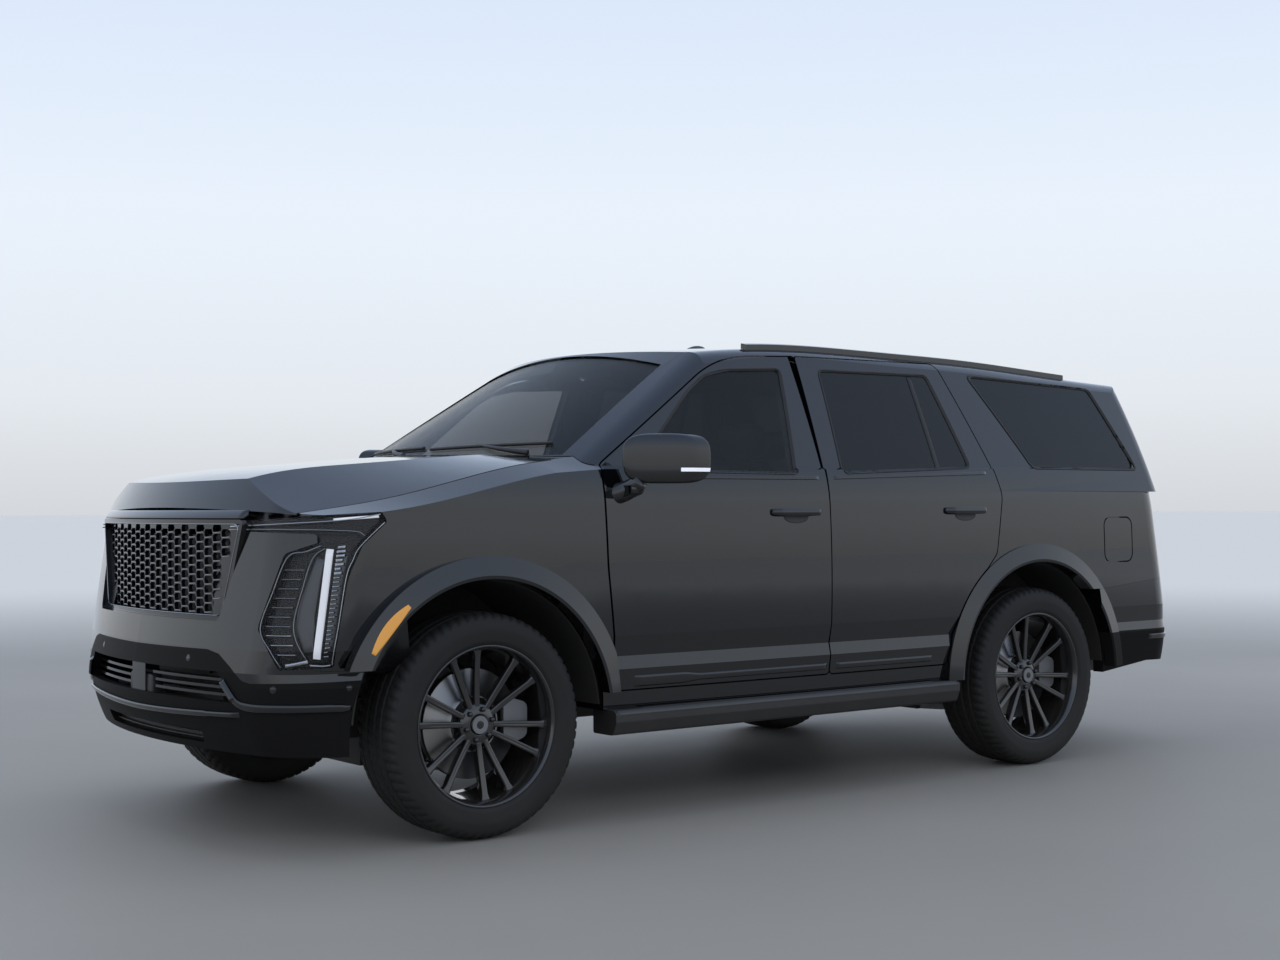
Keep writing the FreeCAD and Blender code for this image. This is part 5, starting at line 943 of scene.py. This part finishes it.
amber = finish("amber_lens", (0.75, 0.33, 0.02), 0.12, coat=1.0, dust=0)
a = np.radians(np.linspace(30, 53, 40))
MARKER_RADIUS = 0.570
line = np.stack([-(FRONT_AXLE + MARKER_RADIUS * np.cos(a)), AXLE_HEIGHT + MARKER_RADIUS * np.sin(a)], -1)
marker = bead(["fenders", "front_bumper"], 90, line, 0.034 * np.sin(np.linspace(0.25, 2.9, 40)) + 0.006, 0.0015)
sided("side_marker", [(marker, False, True)], amber, "root")

# Mirrors: a leant shell, painted above and black below, round a glass that
# looks back, on a short arm; a white signal runs round its outer end.

mirror_glass = finish("mirror_glass", (0.75, 0.78, 0.80), 0.02, metal=1.0, dust=0)


def mirror_point(a, b, c):
    """Point of the leant mirror shell: a runs out, b forward and c up, each from -1 to 1."""
    return np.stack([1.010 - 0.115 * a + 0.075 * np.maximum(b, -0.5), 1.125 + 0.085 * a, 1.405 + 0.098 * c], -1)


def round_form(low, high, rows, grow=1.0):
    """Band of a superellipsoid between two elevations, as its a, b and c."""
    turn, rise = np.meshgrid(np.linspace(-math.pi, math.pi, 121)[:-1], np.linspace(low, high, rows), indexing="ij")

    def bent(value):
        return np.sign(value) * np.abs(value) ** 0.55

    return mirror_point(grow * bent(np.cos(rise)) * bent(np.cos(turn)),
                        grow * bent(np.cos(rise)) * bent(np.sin(turn)), grow * bent(np.sin(rise)))


split_at = -0.12
upper = round_form(split_at, math.pi / 2, 30)
lower = round_form(-math.pi / 2, split_at, 24, 0.985)
band = round_form(split_at - 0.02, split_at + 0.03, 4, 0.990)
arm = tube(smooth_line(((1.16, 0.945, 1.262), (1.125, 1.02, 1.283), (1.105, 1.085, 1.320)), 14),
           np.linspace(0.045, 0.033, 14), thin=0.8, sides=28)[0].reshape(-1, 28, 3)
pane_a, pane_r = np.meshgrid(np.linspace(0, 2 * math.pi, 65)[:-1], np.linspace(0, 1, 6), indexing="ij")
cos_a = np.sign(np.cos(pane_a)) * np.abs(np.cos(pane_a)) ** 0.5
sin_a = np.sign(np.sin(pane_a)) * np.abs(np.sin(pane_a)) ** 0.5
pane = mirror_point(0.84 * pane_r * cos_a, -0.5 + 0 * pane_r, 0.80 * pane_r * sin_a) - (0.0012, 0, 0)
edge = mirror_point((0.84 + 0.05 * pane_r) * cos_a, -0.5 + 0 * pane_r, (0.80 + 0.05 * pane_r) * sin_a)
edge[..., 0] -= 0.004 * np.sin(math.pi * pane_r)
signal_turn = np.linspace(-0.35, 0.95, 30)
signal_rise = np.array((-0.30, -0.26, -0.20, -0.16))
turn, rise = np.meshgrid(signal_turn, signal_rise, indexing="ij")
signal = mirror_point(*(1.004 * np.sign(w) * np.abs(w) ** 0.55 for w in
                        (np.cos(rise) * np.cos(turn), np.cos(rise) * np.sin(turn), np.sin(rise))))
sided("mirror_cap", [(upper, True, False)], paint, "door_front_")
sided("mirror_base", [(lower, True, False), (band, True, False), (arm, False, True), (edge, True, False)],
      gloss_black, "door_front_")
sided("mirror_pane", [(pane, True, False)], mirror_glass, "door_front_")
sided("mirror_signal", [(signal, False, False)], light_bar, "door_front_")
for side, sign in SIDES:
    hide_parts("mirror_" + side)

# Rear: light lines and ribs in the tail lamps, a high brake light, a wiper on the
# window, and strakes and reflectors with a painted glow on the bumper.

red_light = finish("red_light", (0.62, 0.012, 0.010), 0.12, coat=1.0, dust=0)
red_light.node_tree.nodes["Principled BSDF"].inputs["Emission Color"].default_value = (1.0, 0.03, 0.02, 1)
red_light.node_tree.nodes["Principled BSDF"].inputs["Emission Strength"].default_value = 0.25
# Upright light line of the left lamp, as (across, height) seen from behind
LAMP_LINE = ((-0.860, 0.985), (-0.860, 1.20), (-0.835, 1.395), (-0.775, 1.580), (-0.718, 1.750))
line = smooth_line(LAMP_LINE, 110)
lights = pair(bead(["tail_lamps"], 180, line, 0.012, 0.0018), False, True)
t = np.linspace(0, 1, 60)
lights.append(grid(bead(["tailgate"], 180, np.stack([-0.15 + 0.30 * t, 1.846 + 0 * t], -1), 0.014, 0.0025), False,
                   True))
# The bumper's reflectors take the glowing red of the lamps: a painted glow, as they give no light of their own.
line = np.stack([-0.855 + 0.11 * t, 0.545 + 0 * t], -1)
lights += pair(bead(["rear_bumper"], 180, line, 0.030, 0.0025), False, True)
slotted("tail_lights_and_glowing_reflectors", lights, red_light)
rear_lines = []
for z in np.linspace(1.005, 1.345, 12):
    middle = np.interp(z, (0.985, 1.20, 1.395), (-0.860, -0.860, -0.835))
    line = np.stack([middle + 0.017 + 0.020 * t[:20] / t[19], z + 0 * t[:20]], -1)
    rear_lines += pair(bead(["tail_lamps"], 180, line, 0.010, 0.0012), False, True)
slotted("tail_light_ribs", rear_lines, red_lens)

# Wiper: a blade low on the glass, with its arm and a round pivot cover
t = np.linspace(0, 1, 50)
blade = pressed(["rear_window", "tailgate"], 180, -0.05 - 0.37 * t, 1.455 + 0.012 * np.sin(math.pi * t), 0.010)
arm_path = pressed(["rear_window", "tailgate"], 180, 0.03 - 0.27 * t, 1.405 + 0.062 * t,
                   0.010 + 0.014 * np.sin(math.pi * t))
pivot = puck(["rear_window", "tailgate"], 180, 0.03, 1.405, 0.024, 0.016)
slotted("rear_wiper",
        [tube(blade, 0.0065, sides=10), tube(arm_path, np.linspace(0.012, 0.006, 50), sides=12),
         grid(pivot, True, False)],
        satin_black, "tailgate")

REAR_STRAKE = ((-2.225, 0.962, 0.560), (-2.345, 0.950, 0.560), (-2.470, 0.885, 0.560), (-2.560, 0.760, 0.560))
rear_strake = smooth_line(slanted(REAR_STRAKE, 130), 70)
rear_trims = pair(bead(["rear_bumper"], 130, rear_strake, 0.026, 0.007), False, True)
t = np.linspace(0, 1, 90)
rear_trims.append(grid(bead(["rear_bumper"], 180, np.stack([-0.62 + 1.24 * t, 0.505 + 0 * t], -1), 0.024, 0.008),
                       False, True))
slotted("rear_bumper_trim", rear_trims, gloss_black)

# Windscreen wipers: two blades parked low on the glass on curved arms.

sweep = []
for pivot_y, tip_y, heel_y, z_tip, z_heel in ((0.60, 0.70, 0.10, 1.475, 1.462), (-0.10, 0.03, -0.56, 1.470, 1.462)):
    t = np.linspace(0, 1, 60)
    blade = pressed(["windscreen", "cowl_panel", "hood"], 0, tip_y + (heel_y - tip_y) * t,
                    z_tip + (z_heel - z_tip) * t, 0.011)
    end_y = (tip_y + heel_y) / 2
    arm_path = pressed(["windscreen", "cowl_panel"], 0, pivot_y + 0.06 + (end_y - pivot_y - 0.06) * t,
                       1.436 + 0.034 * t, 0.014 + 0.012 * np.sin(math.pi * t))
    sweep += [tube(blade, 0.0070, sides=10), tube(arm_path, np.linspace(0.012, 0.0055, 60), sides=12)]
slotted("windscreen_wipers", sweep, satin_black)

# Roof: a swept fin for the radio at the rear of the panel.

k, a = np.meshgrid(np.linspace(0, 1, 18), np.linspace(0, 2 * math.pi, 41)[:-1], indexing="ij")
shrink = np.sqrt(np.clip(1 - k ** 2.2, 0, 1))
fin_points = np.stack([-0.020 - 0.060 * k ** 0.8 + 0.078 * shrink * np.cos(a), 0.030 * shrink ** 1.8 * np.sin(a),
                       1.925 + 0.060 * k], -1)
slotted("roof_fin", [grid(fin_points, False, True)], paint)

# Seats: foam pads in grained leather with sewn channels, two in front, two in
# the middle and a bench behind, each on a moulded base with a headrest.

SEAT_ROWS = (("front", 0.639, 0.0, (-0.41, 0.41), 0.52), ("middle", -0.241, 0.02, (-0.41, 0.41), 0.52),
             ("rear", -1.021, 0.02, (0.0,), 1.16))
seat_bases = []
for row, x, lift, places, width in SEAT_ROWS:
    for place in places:
        name = row if len(places) == 1 else row + ("_left" if place > 0 else "_right")
        channels = np.linspace(-width / 2 + 0.12, width / 2 - 0.12, 3 if width < 0.6 else 7)
        pad = piece("seat_cushion_" + name,
                    [pillow((x - 0.225, place, 0.775 + lift), (0.17, width - 0.03, 0.44), math.radians(83), 0.014,
                            channels, 0.34, fine=60)], leather, "root")
        back = piece("seat_back_" + name,
                     [pillow((x - 0.497, place, 1.125 + lift), (0.135, width - 0.04, 0.60), math.radians(-13),
                             0.012, channels, 0.32, 0.009, fine=60)], leather, "root")
        heads = [place] if width < 0.6 else [-0.38, 0.0, 0.38]
        rest = piece("headrest_" + name,
                     [pillow((x - 0.632, y, 1.515 + lift), (0.085, 0.26, 0.155), math.radians(-10), 0.010, (),
                             0.42, fine=36) for y in heads], leather, "root")
        seat_bases.append(pillow((x - 0.29, place, 0.605 + lift / 2), (0.50, width - 0.08, 0.165), 0, 0.0, (), 0.2))
        seat_bases += [pillow((x - 0.57, place + g * (width / 2 - 0.02), 0.86 + lift), (0.07, 0.028, 0.2),
                              math.radians(-20), 0.0, (), 0.4) for g in (-1, 1)]
        seat_bases += [tube([(x - 0.60, y + g * 0.05, 1.40 + lift), (x - 0.628, y + g * 0.05, 1.47 + lift)], 0.006)
                       for y in heads for g in (-1, 1)]
seat_frames = piece("seat_frames", seat_bases, cabin_plastic, "root")
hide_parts("seats")

# Dashboard: soft moulding with one long bent glass display, a thin metal
# trim line, round vents at its ends and a metal gear selector.

trim_metal = finish("brushed_trim", (0.42, 0.42, 0.43), 0.28, metal=1.0, grain_scale=900, grain_depth=0.05, dust=0)
display_glass = finish("display_glass", (0.006, 0.008, 0.012), 0.06, coat=1.0, dust=0)
u, v = np.meshgrid(np.linspace(-0.10, 0.72, 60), np.linspace(0, 1, 9), indexing="ij")
bend = 0.806 - 0.10 * (u - 0.30) ** 2
face = np.stack([bend + 0.030 * v, u, 1.235 + 0.16 * v], -1)
screen_parts = [grid(face)]
display = piece("display", screen_parts, display_glass, "root")
shell = display.modifiers.new("wall", "SOLIDIFY")
shell.thickness = 0.012
shell.offset = 0
trims = [tube(smooth_line(((0.812, -0.80, 1.10), (0.795, -0.4, 1.115), (0.792, 0.0, 1.12), (0.795, 0.4, 1.115),
                           (0.812, 0.80, 1.10)), 40), 0.006)]
for y in (-0.74, 0.76):
    a = np.linspace(0, 2 * math.pi, 40)
    trims.append(tube(np.stack([0.80 + 0 * a, y + 0.055 * np.cos(a), 1.19 + 0.036 * np.sin(a)], -1), 0.004))
trims.append(pillow((0.45, 0.0, 0.975), (0.045, 0.05, 0.05), 0, 0.0, (), 0.5))
slotted("dash_trim", trims, trim_metal)

# Steering wheel: a moulded pad over the hub of the leather rim.

WHEEL_LEAN = math.radians(25)
pad_parts = [pillow((0.719, 0.410, 1.086), (0.034, 0.20, 0.15), -WHEEL_LEAN, 0.006, (), 0.5)]
slotted("steering_pad", pad_parts, cabin_plastic, "steering_wheel")

# Underside: coil springs wound round the struts on each corner.

COIL_FOOT = 0.317
COIL_PITCH = 0.052
COIL_RADIUS = 0.050
coils = []
for x, top in ((FRONT_AXLE - 0.115, 0.643), (REAR_AXLE - 0.115, 0.471)):
    for y in (-0.520, 0.520):
        turns = (top - COIL_FOOT) / COIL_PITCH
        a = np.linspace(0, turns * 2 * math.pi, int(turns * 28))
        path = np.stack([x + COIL_RADIUS * np.cos(a), y + COIL_RADIUS * np.sin(a),
                         np.linspace(COIL_FOOT, top, len(a))], -1)
        coils.append(tube(path, 0.0065, sides=10))
slotted("coil_springs", coils, frame_black)
